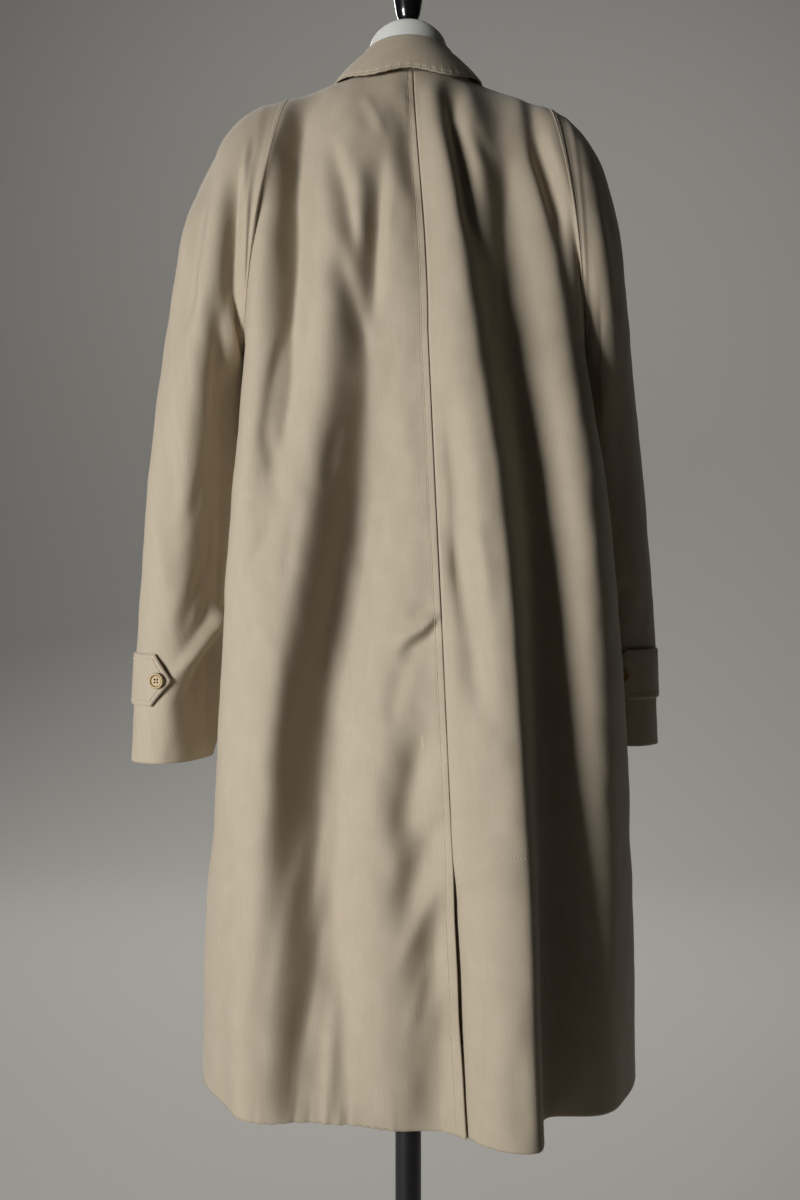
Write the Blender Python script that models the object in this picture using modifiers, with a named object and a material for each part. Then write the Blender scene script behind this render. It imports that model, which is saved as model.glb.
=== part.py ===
# Car coat hanging on a limbless dress form: sewn cloth panels, torso, neck knob, pole and round base
# Metres, +Z up. The back of the coat faces -Y, its front faces +Y, and -X is the wearer's left

import math

import bpy
import numpy as np
from mathutils import Vector

# Cloth and seams
WALL = 0.0016
SEAM_GAP = 0.0004
SHOULDER_GAP = 0.0011
LAP_STEP = 0.0032
LAP_ZONE = 0.012
SEAM_LAP = 0.010
VENT_LAP = 0.042
VENT_STEP = 0.0075
VENT_TOP = 0.655
FRONT_LAP = 0.034
FRONT_STEP = 0.0045
ARMHOLE_GAP = 0.0016

# Heights that divide the body
HEM_HEIGHT = 0.4205
UNDERARM_HEIGHT = 1.165

# Neck points of the body panels
NAPE = (-0.062, 1.437)
THROAT = (0.076, 1.392)
NECK_SIDE = (0.062, -0.002, 1.4475)

# Shares of a panel's width: the neckline, and the strip by the side seam where folds die out
PANEL_WIDTH = 0.195
NECK_SHARE = 0.36
FADE_LOW = 0.16
FADE_HIGH = 0.26

# Number of cells in the panels
BODY_ROWS = 15
YOKE_STEPS = np.array((0.0, 0.13, 0.26, 0.39, 0.52, 0.65, 0.78, 0.89, 0.955, 1.0))
BACK_COLUMNS = 21
FRONT_COLUMNS = 13
SLEEVE_ROWS = 15
COLLAR_COLUMNS = 24


def table(names, rows):
    return dict(zip(names.split(), np.array(rows, float).T))


# Horizontal sections of the body, from the hem to the underarm
BODY = table(
    "height centre half back front side square",
    (
        (0.4205, 0.0112, 0.2265, -0.157, 0.165, 0.035, 2.4),
        (0.5450, 0.0122, 0.2230, -0.150, 0.158, 0.025, 2.4),
        (0.6500, 0.0122, 0.2195, -0.145, 0.151, 0.015, 2.4),
        (0.7570, 0.0112, 0.2150, -0.139, 0.145, 0.005, 2.7),
        (0.8600, 0.0105, 0.2075, -0.134, 0.140, -0.005, 2.9),
        (0.9500, 0.0105, 0.2010, -0.130, 0.136, -0.010, 2.9),
        (1.0600, 0.0105, 0.1910, -0.127, 0.132, -0.010, 2.7),
        (1.1650, 0.0060, 0.1720, -0.130, 0.127, -0.008, 2.4),
    ),
)

# Hollows in the sides where the sleeves hang: depth and place of the middle, left and right
NEST = table(
    "height left_depth left_middle right_depth right_middle",
    (
        (0.4205, 0.000, 0.020, 0.000, 0.070),
        (0.6200, 0.000, 0.020, 0.006, 0.070),
        (0.7300, 0.018, 0.020, 0.046, 0.070),
        (0.8600, 0.036, 0.020, 0.060, 0.058),
        (0.9500, 0.032, 0.018, 0.058, 0.046),
        (1.0600, 0.018, 0.012, 0.047, 0.030),
        (1.1650, 0.000, 0.000, 0.000, 0.005),
    ),
)
NEST_WIDTH = 0.062

# Centre-back seam: how far it lies from the axis at each height
CENTRE_BACK = table(
    "height across",
    (
        (0.4205, 0.0500),
        (0.7300, 0.0370),
        (0.9000, 0.0296),
        (1.0600, 0.0223),
        (1.1650, 0.0175),
        (1.2900, 0.0122),
        (1.4370, 0.0040),
    ),
)

# Folds: places across the body and rise of each fold at five heights, and its width to either side
FOLD_HEIGHTS = (1.38, 1.20, 1.00, 0.78, 0.42)
BACK_FOLDS = (
    # name, width left, width right, then places across and rises at the five heights
    ("left shoulder ridge", 0.020, 0.024,
     (-0.132, -0.138, -0.146, -0.160, -0.150), (0.004, 0.009, 0.004, 0.002, 0.012)),
    ("left shoulder trough", 0.017, 0.022,
     (-0.111, -0.108, -0.129, -0.135, -0.135), (-0.016, -0.026, -0.006, 0.0, 0.0)),
    ("left blade ridge", 0.030, 0.022,
     (-0.070, -0.078, -0.098, -0.128, -0.125), (0.003, 0.008, 0.010, 0.012, 0.010)),
    ("left long trough", 0.024, 0.045,
     (-0.024, -0.037, -0.055, -0.083, -0.102), (-0.002, -0.013, -0.026, -0.028, -0.004)),
    ("left hem trough", 0.024, 0.026,
     (-0.050, -0.050, -0.050, -0.055, -0.048), (0.0, 0.0, 0.0, 0.0, -0.010)),
    ("nape trough", 0.014, 0.016,
     (0.043, 0.078, 0.100, 0.100, 0.100), (-0.012, -0.008, 0.0, 0.0, 0.0)),
    ("right main ridge", 0.055, 0.021,
     (0.030, 0.050, 0.080, 0.094, 0.098), (0.004, 0.012, 0.024, 0.036, 0.056)),
    ("right main trough", 0.022, 0.028,
     (0.086, 0.104, 0.127, 0.135, 0.136), (-0.006, -0.022, -0.028, -0.026, -0.018)),
    ("right side ridge", 0.022, 0.024,
     (0.112, 0.138, 0.162, 0.178, 0.182), (0.004, 0.012, 0.013, 0.012, 0.010)),
    ("right shoulder trough", 0.010, 0.012,
     (0.126, 0.155, 0.170, 0.170, 0.170), (-0.008, -0.003, 0.0, 0.0, 0.0)),
)
FRONT_FOLDS = (
    ("left chest trough", 0.026, 0.022,
     (-0.096, -0.104, -0.112, -0.120, -0.128), (-0.006, -0.013, -0.016, -0.018, -0.016)),
    ("left skirt ridge", 0.028, 0.026,
     (-0.060, -0.066, -0.072, -0.080, -0.088), (0.002, 0.006, 0.008, 0.011, 0.016)),
    ("right skirt ridge", 0.026, 0.030,
     (0.068, 0.074, 0.080, 0.088, 0.098), (0.002, 0.005, 0.008, 0.012, 0.018)),
    ("right chest trough", 0.022, 0.026,
     (0.110, 0.112, 0.118, 0.130, 0.142), (-0.006, -0.012, -0.015, -0.018, -0.018)),
)

# Sleeves: outer and inner line of the tube, place of its middle and half its depth, from armhole to cuff
SLEEVE_LEFT = table(
    "outer_x outer_z inner_x inner_z middle depth",
    (
        (-0.1280, 1.4225, 0.0, 0.0, 0.000, 0.075),
        (-0.1680, 1.4060, -0.1690, 1.153, -0.0075, 0.078),
        (-0.2050, 1.3620, -0.1705, 1.136, -0.005, 0.080),
        (-0.2305, 1.2990, -0.1720, 1.112, 0.000, 0.080),
        (-0.2445, 1.2250, -0.1735, 1.072, 0.006, 0.078),
        (-0.2590, 1.1310, -0.1750, 1.012, 0.012, 0.075),
        (-0.2730, 1.0263, -0.1775, 0.942, 0.017, 0.072),
        (-0.2815, 0.9100, -0.1830, 0.862, 0.020, 0.069),
        (-0.2868, 0.8148, -0.1950, 0.792, 0.020, 0.066),
        (-0.2899, 0.7440, -0.2074, 0.746, 0.020, 0.065),
    ),
)
SLEEVE_RIGHT = table(
    "outer_x outer_z inner_x inner_z middle depth",
    (
        (0.1480, 1.4135, 0.0, 0.0, 0.000, 0.072),
        (0.1750, 1.3910, 0.1810, 1.153, -0.0075, 0.075),
        (0.1995, 1.3510, 0.1815, 1.136, -0.003, 0.077),
        (0.2180, 1.2920, 0.1810, 1.112, 0.007, 0.077),
        (0.2305, 1.2180, 0.1790, 1.072, 0.025, 0.075),
        (0.2410, 1.1320, 0.1750, 1.012, 0.044, 0.071),
        (0.2550, 1.0280, 0.1735, 0.942, 0.060, 0.068),
        (0.2662, 0.9150, 0.1760, 0.866, 0.070, 0.066),
        (0.2710, 0.8200, 0.1830, 0.800, 0.075, 0.064),
        (0.2725, 0.7550, 0.1900, 0.757, 0.077, 0.063),
    ),
)

# Collar: neckline, fold and fall edge at places round the neck, from the centre back to the centre front
COLLAR = table(
    "turn seam_x seam_y seam_z fold_x fold_y fold_z edge_x edge_y edge_z",
    (
        (0, 0.0000, -0.0604, 1.4384, 0.0000, -0.0550, 1.4750, 0.0000, -0.0735, 1.4350),
        (30, 0.0302, -0.0526, 1.4403, 0.0235, -0.0475, 1.4745, 0.0385, -0.0682, 1.4302),
        (60, 0.0523, -0.0312, 1.4449, 0.0405, -0.0280, 1.4725, 0.0665, -0.0388, 1.4387),
        (90, 0.0604, -0.0020, 1.4490, 0.0470, 0.0000, 1.4680, 0.0785, 0.0050, 1.4435),
        (120, 0.0523, 0.0362, 1.4280, 0.0420, 0.0340, 1.4560, 0.0785, 0.0490, 1.4195),
        (150, 0.0302, 0.0641, 1.4037, 0.0260, 0.0605, 1.4380, 0.0730, 0.0840, 1.3825),
        (172, 0.0084, 0.0736, 1.3945, 0.0090, 0.0720, 1.4220, 0.0690, 0.1015, 1.3560),
    ),
)
COLLAR_ROLL = 0.0030
COLLAR_BOW = 0.0060

# Cuff tabs: where they lie on the sleeve, and their button
TAB_HALF_WIDTH = 0.0265
TAB_THICKNESS = 0.0022
TAB_LIFT = 0.0009
TAB_ROOT = -0.06
TAB_TIP = 0.50
TAB_SHOULDER = 0.375
TAB_LEFT_HEIGHT = 0.829
TAB_RIGHT_HEIGHT = 0.832
TAB_RIGHT_TURN = 0.10
BUTTON_RADIUS = 0.0082
BUTTON_THICKNESS = 0.0034
BUTTON_PLACE = 0.42

# Dress form and stand
FORM = table(
    "height half back front square slant",
    (
        (0.840, 0.118, 0.080, 0.080, 2.2, 0.0),
        (0.880, 0.126, 0.086, 0.086, 2.2, 0.0),
        (0.960, 0.122, 0.082, 0.086, 2.2, 0.0),
        (1.040, 0.114, 0.078, 0.086, 2.2, 0.0),
        (1.140, 0.128, 0.086, 0.098, 2.2, 0.0),
        (1.240, 0.142, 0.092, 0.098, 2.2, 0.0),
        (1.310, 0.150, 0.084, 0.086, 2.2, 0.0),
        (1.360, 0.150, 0.066, 0.070, 2.2, 0.0),
        (1.390, 0.142, 0.052, 0.056, 2.1, 0.0),
        (1.408, 0.118, 0.046, 0.050, 2.0, 0.0),
        (1.420, 0.088, 0.044, 0.047, 2.0, 0.0),
        (1.430, 0.062, 0.043, 0.044, 2.0, 0.1),
        (1.440, 0.0475, 0.042, 0.042, 2.0, 0.2),
        (1.460, 0.0425, 0.041, 0.041, 2.0, 0.35),
        (1.478, 0.0410, 0.040, 0.040, 2.0, 0.45),
    ),
)
NECK_DOME = ((0.0375, 0.0065), (0.0310, 0.0095), (0.0220, 0.0110))
# Turned profiles: radius and height of each point
KNOB_PROFILE = (
    (0.0, 0.0), (0.0145, 0.0), (0.0145, 0.004), (0.0105, 0.008), (0.0105, 0.018), (0.0128, 0.026),
    (0.0160, 0.046), (0.0168, 0.054), (0.0150, 0.064), (0.0090, 0.072), (0.0, 0.074),
)
POLE_RADIUS = 0.0135
BASE_PROFILE = (
    (0.0, 0.0), (0.190, 0.0), (0.190, 0.008), (0.186, 0.012),
    (0.040, 0.014), (0.030, 0.020), (0.024, 0.034), (0.0, 0.034),
)


def through(rows, name, at, key="height"):
    # Smooth curve through a table's column: cubic pieces whose slopes are the mean slopes at each row
    places, values = rows[key], rows[name]
    slopes = np.gradient(values, places)
    at = np.clip(at, places[0], places[-1])
    index = np.clip(np.searchsorted(places, at) - 1, 0, len(places) - 2)
    span = places[index + 1] - places[index]
    t = (at - places[index]) / span
    start, end = values[index], values[index + 1]
    return (
        start * (1 + 2 * t) * (1 - t) ** 2
        + end * t * t * (3 - 2 * t)
        + span * (slopes[index] * t * (1 - t) ** 2 - slopes[index + 1] * t * t * (1 - t))
    )


def ease(t):
    t = np.clip(t, 0.0, 1.0)
    return t * t * (3 - 2 * t)


def power(value, exponent):
    return np.sign(value) * np.abs(value) ** exponent


def ring(turn, height):
    # Point of the body's section: turn is 0 at the back, 90 degrees at the right side and 180 at the front
    turn, height = np.broadcast_arrays(turn, height)
    part = {name: through(BODY, name, height) for name in BODY if name != "height"}
    bend = 2 / part["square"]
    deep = np.where(np.cos(turn) > 0, part["side"] - part["back"], part["front"] - part["side"])
    x = part["half"] * power(np.sin(turn), bend)
    y = part["side"] - deep * power(np.cos(turn), bend)
    for side, name in ((-1, "left"), (1, "right")):
        depth = through(NEST, name + "_depth", height)
        middle = through(NEST, name + "_middle", height)
        x = x - side * depth * np.exp(-(((y - middle) / NEST_WIDTH) ** 2)) * ease(side * x / 0.10)
    return np.stack((part["centre"] + x, y, height + 0.0 * x), axis=-1)


def turn_at(across, height):
    # Turn at which the back of the section lies at a place across it
    part = {name: through(BODY, name, height) for name in ("centre", "half", "square")}
    return np.arcsin(power((across - part["centre"]) / part["half"], part["square"] / 2))


def armpit(side):
    return ring(np.array(side * math.pi / 2), np.array(UNDERARM_HEIGHT))


def sleeve_rows(side):
    source = SLEEVE_LEFT if side < 0 else SLEEVE_RIGHT
    rows = {name: values.copy() for name, values in source.items()}
    under = armpit(side)
    rows["inner_x"][0], rows["inner_z"][0] = under[0], under[2]
    rows["middle"][0] = under[1]
    rows["row"] = np.linspace(0.0, 1.0, len(rows["depth"]))
    return rows


def half_loop(rows, row, t, face):
    # Half of a sleeve's section, from its outer line (t 0) to its inner line (t 1) by the back or front
    part = {name: through(rows, name, row, "row") for name in rows if name != "row"}
    blend = t * t * (3 - 2 * t)
    x = part["outer_x"] + (part["inner_x"] - part["outer_x"]) * blend
    z = part["outer_z"] + (part["inner_z"] - part["outer_z"]) * blend
    y = part["middle"] + face * 4 * part["depth"] * t * (1 - t)
    return np.stack(np.broadcast_arrays(x, y, z), axis=-1)


def hermite(start, end, leave, arrive, t):
    return (
        start * (1 + 2 * t) * (1 - t) ** 2
        + end * t * t * (3 - 2 * t)
        + leave * t * (1 - t) ** 2
        - arrive * t * t * (1 - t)
    )


def fold_rise(folds, x, z):
    # Sum of the folds: each is a bell across the body, steeper on its narrow side, along its path in height
    rise = np.zeros_like(x)
    order = np.array(FOLD_HEIGHTS)[::-1]
    for _, left, right, across, rises in folds:
        rows = {"height": order, "across": np.array(across)[::-1], "rise": np.array(rises)[::-1]}
        away = x - through(rows, "across", z)
        width = np.where(away < 0, left, right)
        rise += through(rows, "rise", z) * np.exp(-((away / width) ** 2))
    return rise


def top_edge(side, face, u):
    # Neckline from the centre to the side of the neck, then the straight shoulder seam out to the armhole
    neck = np.array((side * NECK_SIDE[0], NECK_SIDE[1], NECK_SIDE[2]))
    rows = sleeve_rows(side)
    shoulder = half_loop(rows, 0.0, np.array(0.0), face)
    middle = (float(through(CENTRE_BACK, "across", 1.437)), *NAPE) if face < 0 else (0.0, *THROAT)
    q = np.clip(u / NECK_SHARE, 0.0, 1.0)[..., None] * math.pi / 2
    neckline = np.concatenate(
        (
            middle[0] + (neck[0] - middle[0]) * np.sin(q),
            neck[1] + (middle[1] - neck[1]) * np.cos(q),
            neck[2] + (middle[2] - neck[2]) * np.cos(q) ** 1.4,
        ),
        axis=-1,
    )
    t = np.clip((u - NECK_SHARE) / (1 - NECK_SHARE), 0.0, 1.0)[..., None]
    seam = neck + (shoulder - neck) * t
    edge = np.where((u < NECK_SHARE)[..., None], neckline, seam)
    edge[..., 1] += face * SHOULDER_GAP / 2 * ease(u / NECK_SHARE)
    return edge


def grid_normals(points, outwards):
    across = np.gradient(points, axis=0)
    upwards = np.gradient(points, axis=1)
    normal = np.cross(across, upwards) * outwards
    return normal / np.linalg.norm(normal, axis=-1, keepdims=True)


def panel(side, face, columns):
    # Body panel: columns run from the centre to the side seam, rows from the hem to the neck and shoulder
    lapped = side > 0
    heights = np.linspace(HEM_HEIGHT, UNDERARM_HEIGHT, BODY_ROWS + 1)
    v = YOKE_STEPS[1:]
    middle = through(CENTRE_BACK, "across", heights)
    if face < 0:
        start = turn_at(middle, heights)
    else:
        start = side * math.pi - turn_at(0.0 * heights, heights)
    gap = SEAM_GAP / 2 / 0.10
    end = side * (math.pi / 2 + face * gap)
    # Laps: how far the edge runs past the centre seam, and the columns that carry it
    lap_low = np.zeros(len(heights))
    lap_high = np.zeros(len(v))
    if face < 0 and side > 0:
        vent = ease((VENT_TOP - heights) / 0.05)
        lap_low = SEAM_LAP + (VENT_LAP - SEAM_LAP) * vent
        lap_high = np.full(len(v), SEAM_LAP)
    if face > 0:
        lap_low = np.full(len(heights), FRONT_LAP)
        lap_high = FRONT_LAP * (1 - 0.86 * v ** 3)
    zone = LAP_ZONE / PANEL_WIDTH
    if lapped or face > 0:
        fractions = np.concatenate(((-1.0, -0.5, 0.0), np.linspace(zone, 1.0, columns - 2)))
    else:
        fractions = np.linspace(0.0, 1.0, columns + 1)
    past = np.minimum(fractions, 0.0)[:, None]
    along = np.maximum(fractions, 0.0)[:, None]
    turns = start + (end - start) * along + side * -face * past * lap_low / PANEL_WIDTH
    low = ring(turns, heights[None, :])
    # Upper part: each column is a cubic from the underarm section to the top edge
    flat = np.maximum(fractions, 0.0)
    top = top_edge(side, face, flat)[:, None, :]
    under_turns = start[-1] + (end - start[-1]) * along
    anchor = ring(under_turns, np.array([[UNDERARM_HEIGHT]]))
    rows = sleeve_rows(side)
    depth = 4 * rows["depth"][0]
    hang = (flat ** 5)[:, None, None]
    bend = ease(flat / NECK_SHARE)[:, None, None]
    leave = np.array((0.0, 0.0, 0.30)) * (1 - hang) + np.array((0.0, face * depth, 0.0)) * hang
    at_middle = np.array((0.0, -face * 0.13, 0.17))
    at_shoulder = np.array((0.0, -face * 0.25, 0.04))
    arrive = at_middle * (1 - bend) + at_shoulder * bend
    arrive = arrive * (1 - hang) + np.array((0.0, -face * depth, 0.0)) * hang
    t = v[None, :, None]
    high = hermite(anchor, top, leave, arrive, t)
    high[..., 0] += past * lap_high * side
    high[..., 0] += -side * SEAM_GAP * 0.5 * hang[..., 0]
    points = np.concatenate((low, high), axis=1)
    # Folds and the lap's step are set off along the surface's normal
    outwards = 1.0 if side * -face > 0 else -1.0
    normal = grid_normals(points, outwards)
    fade_width = np.concatenate((np.full(len(heights), FADE_LOW), np.full(len(v), FADE_HIGH)))
    fade_width = np.convolve(np.pad(fade_width, 2, "edge"), np.full(5, 0.2), "valid")
    fade_side = ease((1 - flat)[:, None] / fade_width[None, :])
    fade_top = np.concatenate((np.ones(len(heights)), ease((1 - v) / 0.25)))[None, :]
    folds = BACK_FOLDS if face < 0 else FRONT_FOLDS
    rise = fold_rise(folds, points[..., 0], points[..., 2]) * fade_side * fade_top
    if lapped:
        step = np.full(len(heights) + len(v), LAP_STEP)
        if face < 0:
            step[: len(heights)] += (VENT_STEP - LAP_STEP) * ease((VENT_TOP + 0.04 - heights) / 0.06)
            inside = ease(1 - fractions / zone)[:, None]
        else:
            step += FRONT_STEP - LAP_STEP
            inside = ease((0.26 - fractions) / 0.10)[:, None]
        rise = rise - step[None, :] * inside
    return points + normal * rise[..., None], outwards


def add_object(name, points, faces, colour, roughness, metallic=0.0):
    mesh = bpy.data.meshes.new(name)
    mesh.from_pydata([tuple(point) for point in points], [], faces)
    mesh.update()
    item = bpy.data.objects.new(name, mesh)
    collection.objects.link(item)
    material = bpy.data.materials.new(name)
    material.use_nodes = True
    shader = material.node_tree.nodes["Principled BSDF"]
    shader.inputs["Base Color"].default_value = (*colour, 1.0)
    shader.inputs["Roughness"].default_value = roughness
    shader.inputs["Metallic"].default_value = metallic
    mesh.materials.append(material)
    return item


def grid_faces(columns, rows, outwards, closed=False):
    faces = []
    for i in range(columns if closed else columns - 1):
        for j in range(rows - 1):
            a, b = i * rows + j, ((i + 1) % columns) * rows + j
            face = (a, b, b + 1, a + 1)
            faces.append(face if outwards > 0 else face[::-1])
    return faces


def add_cloth(name, points, outwards, closed=False, wall=WALL):
    # Open surface thickened inwards
    columns, rows = points.shape[:2]
    item = add_object(name, points.reshape(-1, 3), grid_faces(columns, rows, outwards, closed), CLOTH, 0.8)
    solid = item.modifiers.new("wall", "SOLIDIFY")
    solid.thickness = wall
    solid.offset = -1.0
    solid.use_even_offset = False
    solid.use_rim = True
    return item


def sleeve_point(side, turn, row):
    # Point of a sleeve: turn 0 is the outer line, -1 and 1 the inner line by way of the front and back
    rows = sleeve_rows(side)
    turn, row = np.broadcast_arrays(turn, row)
    back = half_loop(rows, row, np.abs(turn), -1.0)
    front = half_loop(rows, row, np.abs(turn), 1.0)
    return np.where((turn >= 0)[..., None], back, front)


def sleeve(side):
    turns = np.concatenate(((1 - YOKE_STEPS)[::-1], (YOKE_STEPS - 1)[1:-1]))
    rows = np.concatenate(((0.0, 0.055), np.linspace(0.111, 1.0, SLEEVE_ROWS - 1)))
    points = sleeve_point(side, turns[:, None], rows[None, :])
    points[:, 0, 0] += side * ARMHOLE_GAP
    return points


def sleeve_row_at(side, turn, height):
    # Row of a sleeve at which the given turn lies at a height
    rows = np.linspace(0.3, 1.0, 400)
    heights = sleeve_point(side, np.array(turn), rows)[:, 2]
    return float(np.interp(-height, -heights, rows))


def tab_surface(side, turn, height, out):
    # Points of the sleeve at a turn and height, moved out along the sleeve's normal
    pairs = zip(turn.ravel(), height.ravel())
    row = np.array([sleeve_row_at(side, *pair) for pair in pairs]).reshape(turn.shape)
    step = 1e-3
    point = sleeve_point(side, turn, row)
    across = sleeve_point(side, turn + step, row) - sleeve_point(side, turn - step, row)
    down = sleeve_point(side, turn, row + step) - sleeve_point(side, turn, row - step)
    normal = np.cross(across, down) * side
    normal /= np.linalg.norm(normal, axis=-1, keepdims=True)
    return point + normal * out, normal


def cuff_tab(side, middle, shift):
    strap = np.linspace(TAB_ROOT, TAB_SHOULDER, 8)
    point = np.linspace(TAB_SHOULDER, TAB_TIP, 5)[1:]
    along = np.concatenate((strap, point))
    width = np.linspace(-1.0, 1.0, 5)
    narrow = 1 - 0.94 * np.clip((along - TAB_SHOULDER) / (TAB_TIP - TAB_SHOULDER), 0.0, 1.0)
    turn = np.broadcast_to(shift + along[:, None], (len(along), len(width)))
    height = middle + TAB_HALF_WIDTH * narrow[:, None] * width[None, :]
    return tab_surface(side, turn, height, TAB_LIFT + TAB_THICKNESS)[0]


def add_turned(name, profile, colour, roughness, steps, base=(0.0, 0.0, 0.0)):
    # Profile turned about the vertical axis
    edges = [(i, i + 1) for i in range(len(profile) - 1)]
    item = add_object(name, [], [], colour, roughness)
    item.data.clear_geometry()
    item.data.from_pydata([(radius, 0.0, height) for radius, height in profile], edges, [])
    turned = item.modifiers.new("turn", "SCREW")
    turned.steps = steps
    turned.render_steps = steps
    turned.use_merge_vertices = True
    turned.merge_threshold = 0.00005
    turned.use_normal_flip = True
    item.location = base
    return item


def add_form():
    # Torso and neck: sections stacked in height, the neck's upper ones slanting down to the front
    count = 28
    turns = np.linspace(0.0, 2 * math.pi, count, endpoint=False)
    rings = []
    for height, half, back, front, square, slant in zip(*(FORM[name] for name in FORM)):
        bend = 2 / square
        deep = np.where(np.cos(turns) > 0, back, front)
        x = half * power(np.sin(turns), bend)
        y = -deep * power(np.cos(turns), bend)
        rings.append(np.stack((x, y, height - slant * y), axis=-1))
    slant = FORM["slant"][-1]
    for radius, rise in NECK_DOME:
        x, y = radius * np.sin(turns), -radius * np.cos(turns)
        rings.append(np.stack((x, y, FORM["height"][-1] + rise - slant * y), axis=-1))
    rows = len(rings)
    points = np.stack(rings, axis=1).reshape(-1, 3)
    faces = grid_faces(count, rows, 1.0, closed=True)
    faces.append(tuple(i * rows for i in range(count))[::-1])
    faces.append(tuple(i * rows + rows - 1 for i in range(count)))
    return add_object("form_body", points, faces, (0.80, 0.80, 0.78), 0.5)


def collar_points():
    # Collar: from its seam up the stand, over the roll and down the fall, carried round the neck
    last = COLLAR["turn"][-1]
    turns = np.linspace(-last, last, COLLAR_COLUMNS + 1)
    side = np.where(turns < 0, -1.0, 1.0)
    at = {name: through(COLLAR, name, np.abs(turns), "turn") for name in COLLAR if name != "turn"}
    lines = {}
    for line in ("seam", "fold", "edge"):
        lines[line] = np.stack((side * at[line + "_x"], at[line + "_y"], at[line + "_z"]), axis=-1)
    outward = lines["edge"] - lines["fold"]
    outward[:, 2] = 0.0
    outward /= np.linalg.norm(outward, axis=1, keepdims=True)
    roll = outward * COLLAR_ROLL
    up = np.array((0.0, 0.0, COLLAR_ROLL))
    inner_top = lines["fold"] - roll - up
    outer_top = lines["fold"] + roll - up
    sections = [lines["seam"] + (inner_top - lines["seam"]) * t for t in (0.0, 0.5, 1.0)]
    sections += [lines["fold"] + across * 0.6 * roll - abs(across) * 0.25 * up for across in (-1, 0, 1)]
    fall = lines["edge"] - outer_top
    bow = COLLAR_BOW * (0.6 * outward + np.array((0.0, 0.0, 0.8)))
    sections += [outer_top + fall * t + bow * np.sin(np.pi * t) for t in (0.0, 0.33, 0.67, 1.0)]
    return np.stack(sections, axis=1)


CLOTH = (0.40, 0.33, 0.24)
BLACK = (0.012, 0.012, 0.013)

for old in list(bpy.data.objects):
    bpy.data.objects.remove(old, do_unlink=True)
collection = bpy.data.collections.new("car_coat")
bpy.context.scene.collection.children.link(collection)

# Body panels
for face_name, face, count in (("back", -1.0, BACK_COLUMNS), ("front", 1.0, FRONT_COLUMNS)):
    for side_name, side in (("left", -1.0), ("right", 1.0)):
        surface, outwards = panel(side, face, count)
        add_cloth(face_name + "_" + side_name, surface, outwards)

# Sleeves, cuff tabs and buttons
cuffs = (("left", -1.0, TAB_LEFT_HEIGHT, 0.0), ("right", 1.0, TAB_RIGHT_HEIGHT, TAB_RIGHT_TURN))
for side_name, side, tab_height, shift in cuffs:
    add_cloth("sleeve_" + side_name, sleeve(side), side, closed=True)
    add_cloth("cuff_tab_" + side_name, cuff_tab(side, tab_height, shift), -side, wall=TAB_THICKNESS)
    button_turn = np.array([[BUTTON_PLACE + shift]])
    button_height = np.array([[tab_height]])
    place, normal = tab_surface(side, button_turn, button_height, TAB_LIFT + TAB_THICKNESS + 0.0012)
    button = add_turned(
        "cuff_button_" + side_name,
        (
            (0.0, 0.0),
            (BUTTON_RADIUS * 0.80, 0.0),
            (BUTTON_RADIUS, BUTTON_THICKNESS * 0.45),
            (BUTTON_RADIUS * 0.94, BUTTON_THICKNESS),
            (BUTTON_RADIUS * 0.78, BUTTON_THICKNESS),
            (BUTTON_RADIUS * 0.66, BUTTON_THICKNESS * 0.72),
            (0.0, BUTTON_THICKNESS * 0.66),
        ),
        (0.48, 0.38, 0.20),
        0.3,
        20,
        tuple(place[0, 0]),
    )
    button.rotation_mode = "QUATERNION"
    button.rotation_quaternion = Vector(normal[0, 0]).to_track_quat("Z", "Y")

# Collar
add_cloth("collar", collar_points(), -1.0)

# Form, knob, pole and base
add_form()
knob_base = FORM["height"][-1] + NECK_DOME[-1][1] + FORM["slant"][-1] * 0.0145 + 0.0004
add_turned("form_knob", KNOB_PROFILE, BLACK, 0.15, 24, (0.0, 0.0, knob_base))
pole_low = BASE_PROFILE[-1][1] + 0.0003
pole_high = FORM["height"][0] - 0.0003
add_turned(
    "stand_pole",
    ((0.0, pole_low), (POLE_RADIUS, pole_low), (POLE_RADIUS, pole_high), (0.0, pole_high)),
    BLACK,
    0.3,
    24,
)
add_turned("stand_base", BASE_PROFILE, BLACK, 0.35, 48)
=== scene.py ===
import math

import bpy
import numpy as np
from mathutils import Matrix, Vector


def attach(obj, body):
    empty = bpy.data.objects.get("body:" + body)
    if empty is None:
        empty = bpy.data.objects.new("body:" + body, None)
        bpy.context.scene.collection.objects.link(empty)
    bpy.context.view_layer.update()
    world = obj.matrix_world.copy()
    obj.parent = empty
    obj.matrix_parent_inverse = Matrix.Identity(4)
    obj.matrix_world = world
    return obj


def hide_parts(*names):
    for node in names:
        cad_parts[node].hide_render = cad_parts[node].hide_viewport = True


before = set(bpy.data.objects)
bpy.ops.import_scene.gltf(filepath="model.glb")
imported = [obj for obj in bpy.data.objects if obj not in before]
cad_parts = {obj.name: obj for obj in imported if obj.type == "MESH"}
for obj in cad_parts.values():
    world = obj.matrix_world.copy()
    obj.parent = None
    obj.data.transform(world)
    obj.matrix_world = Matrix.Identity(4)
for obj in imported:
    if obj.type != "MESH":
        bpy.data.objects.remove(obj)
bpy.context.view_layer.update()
print("loaded the solids")

mm = 0.001
sides = ((-1, "left"), (1, "right"))


# Formula: a column for each name, its values times the unit
def table(names, rows, unit=1.0):
    return dict(zip(names.split(), np.array(rows, float).T * unit))


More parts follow.
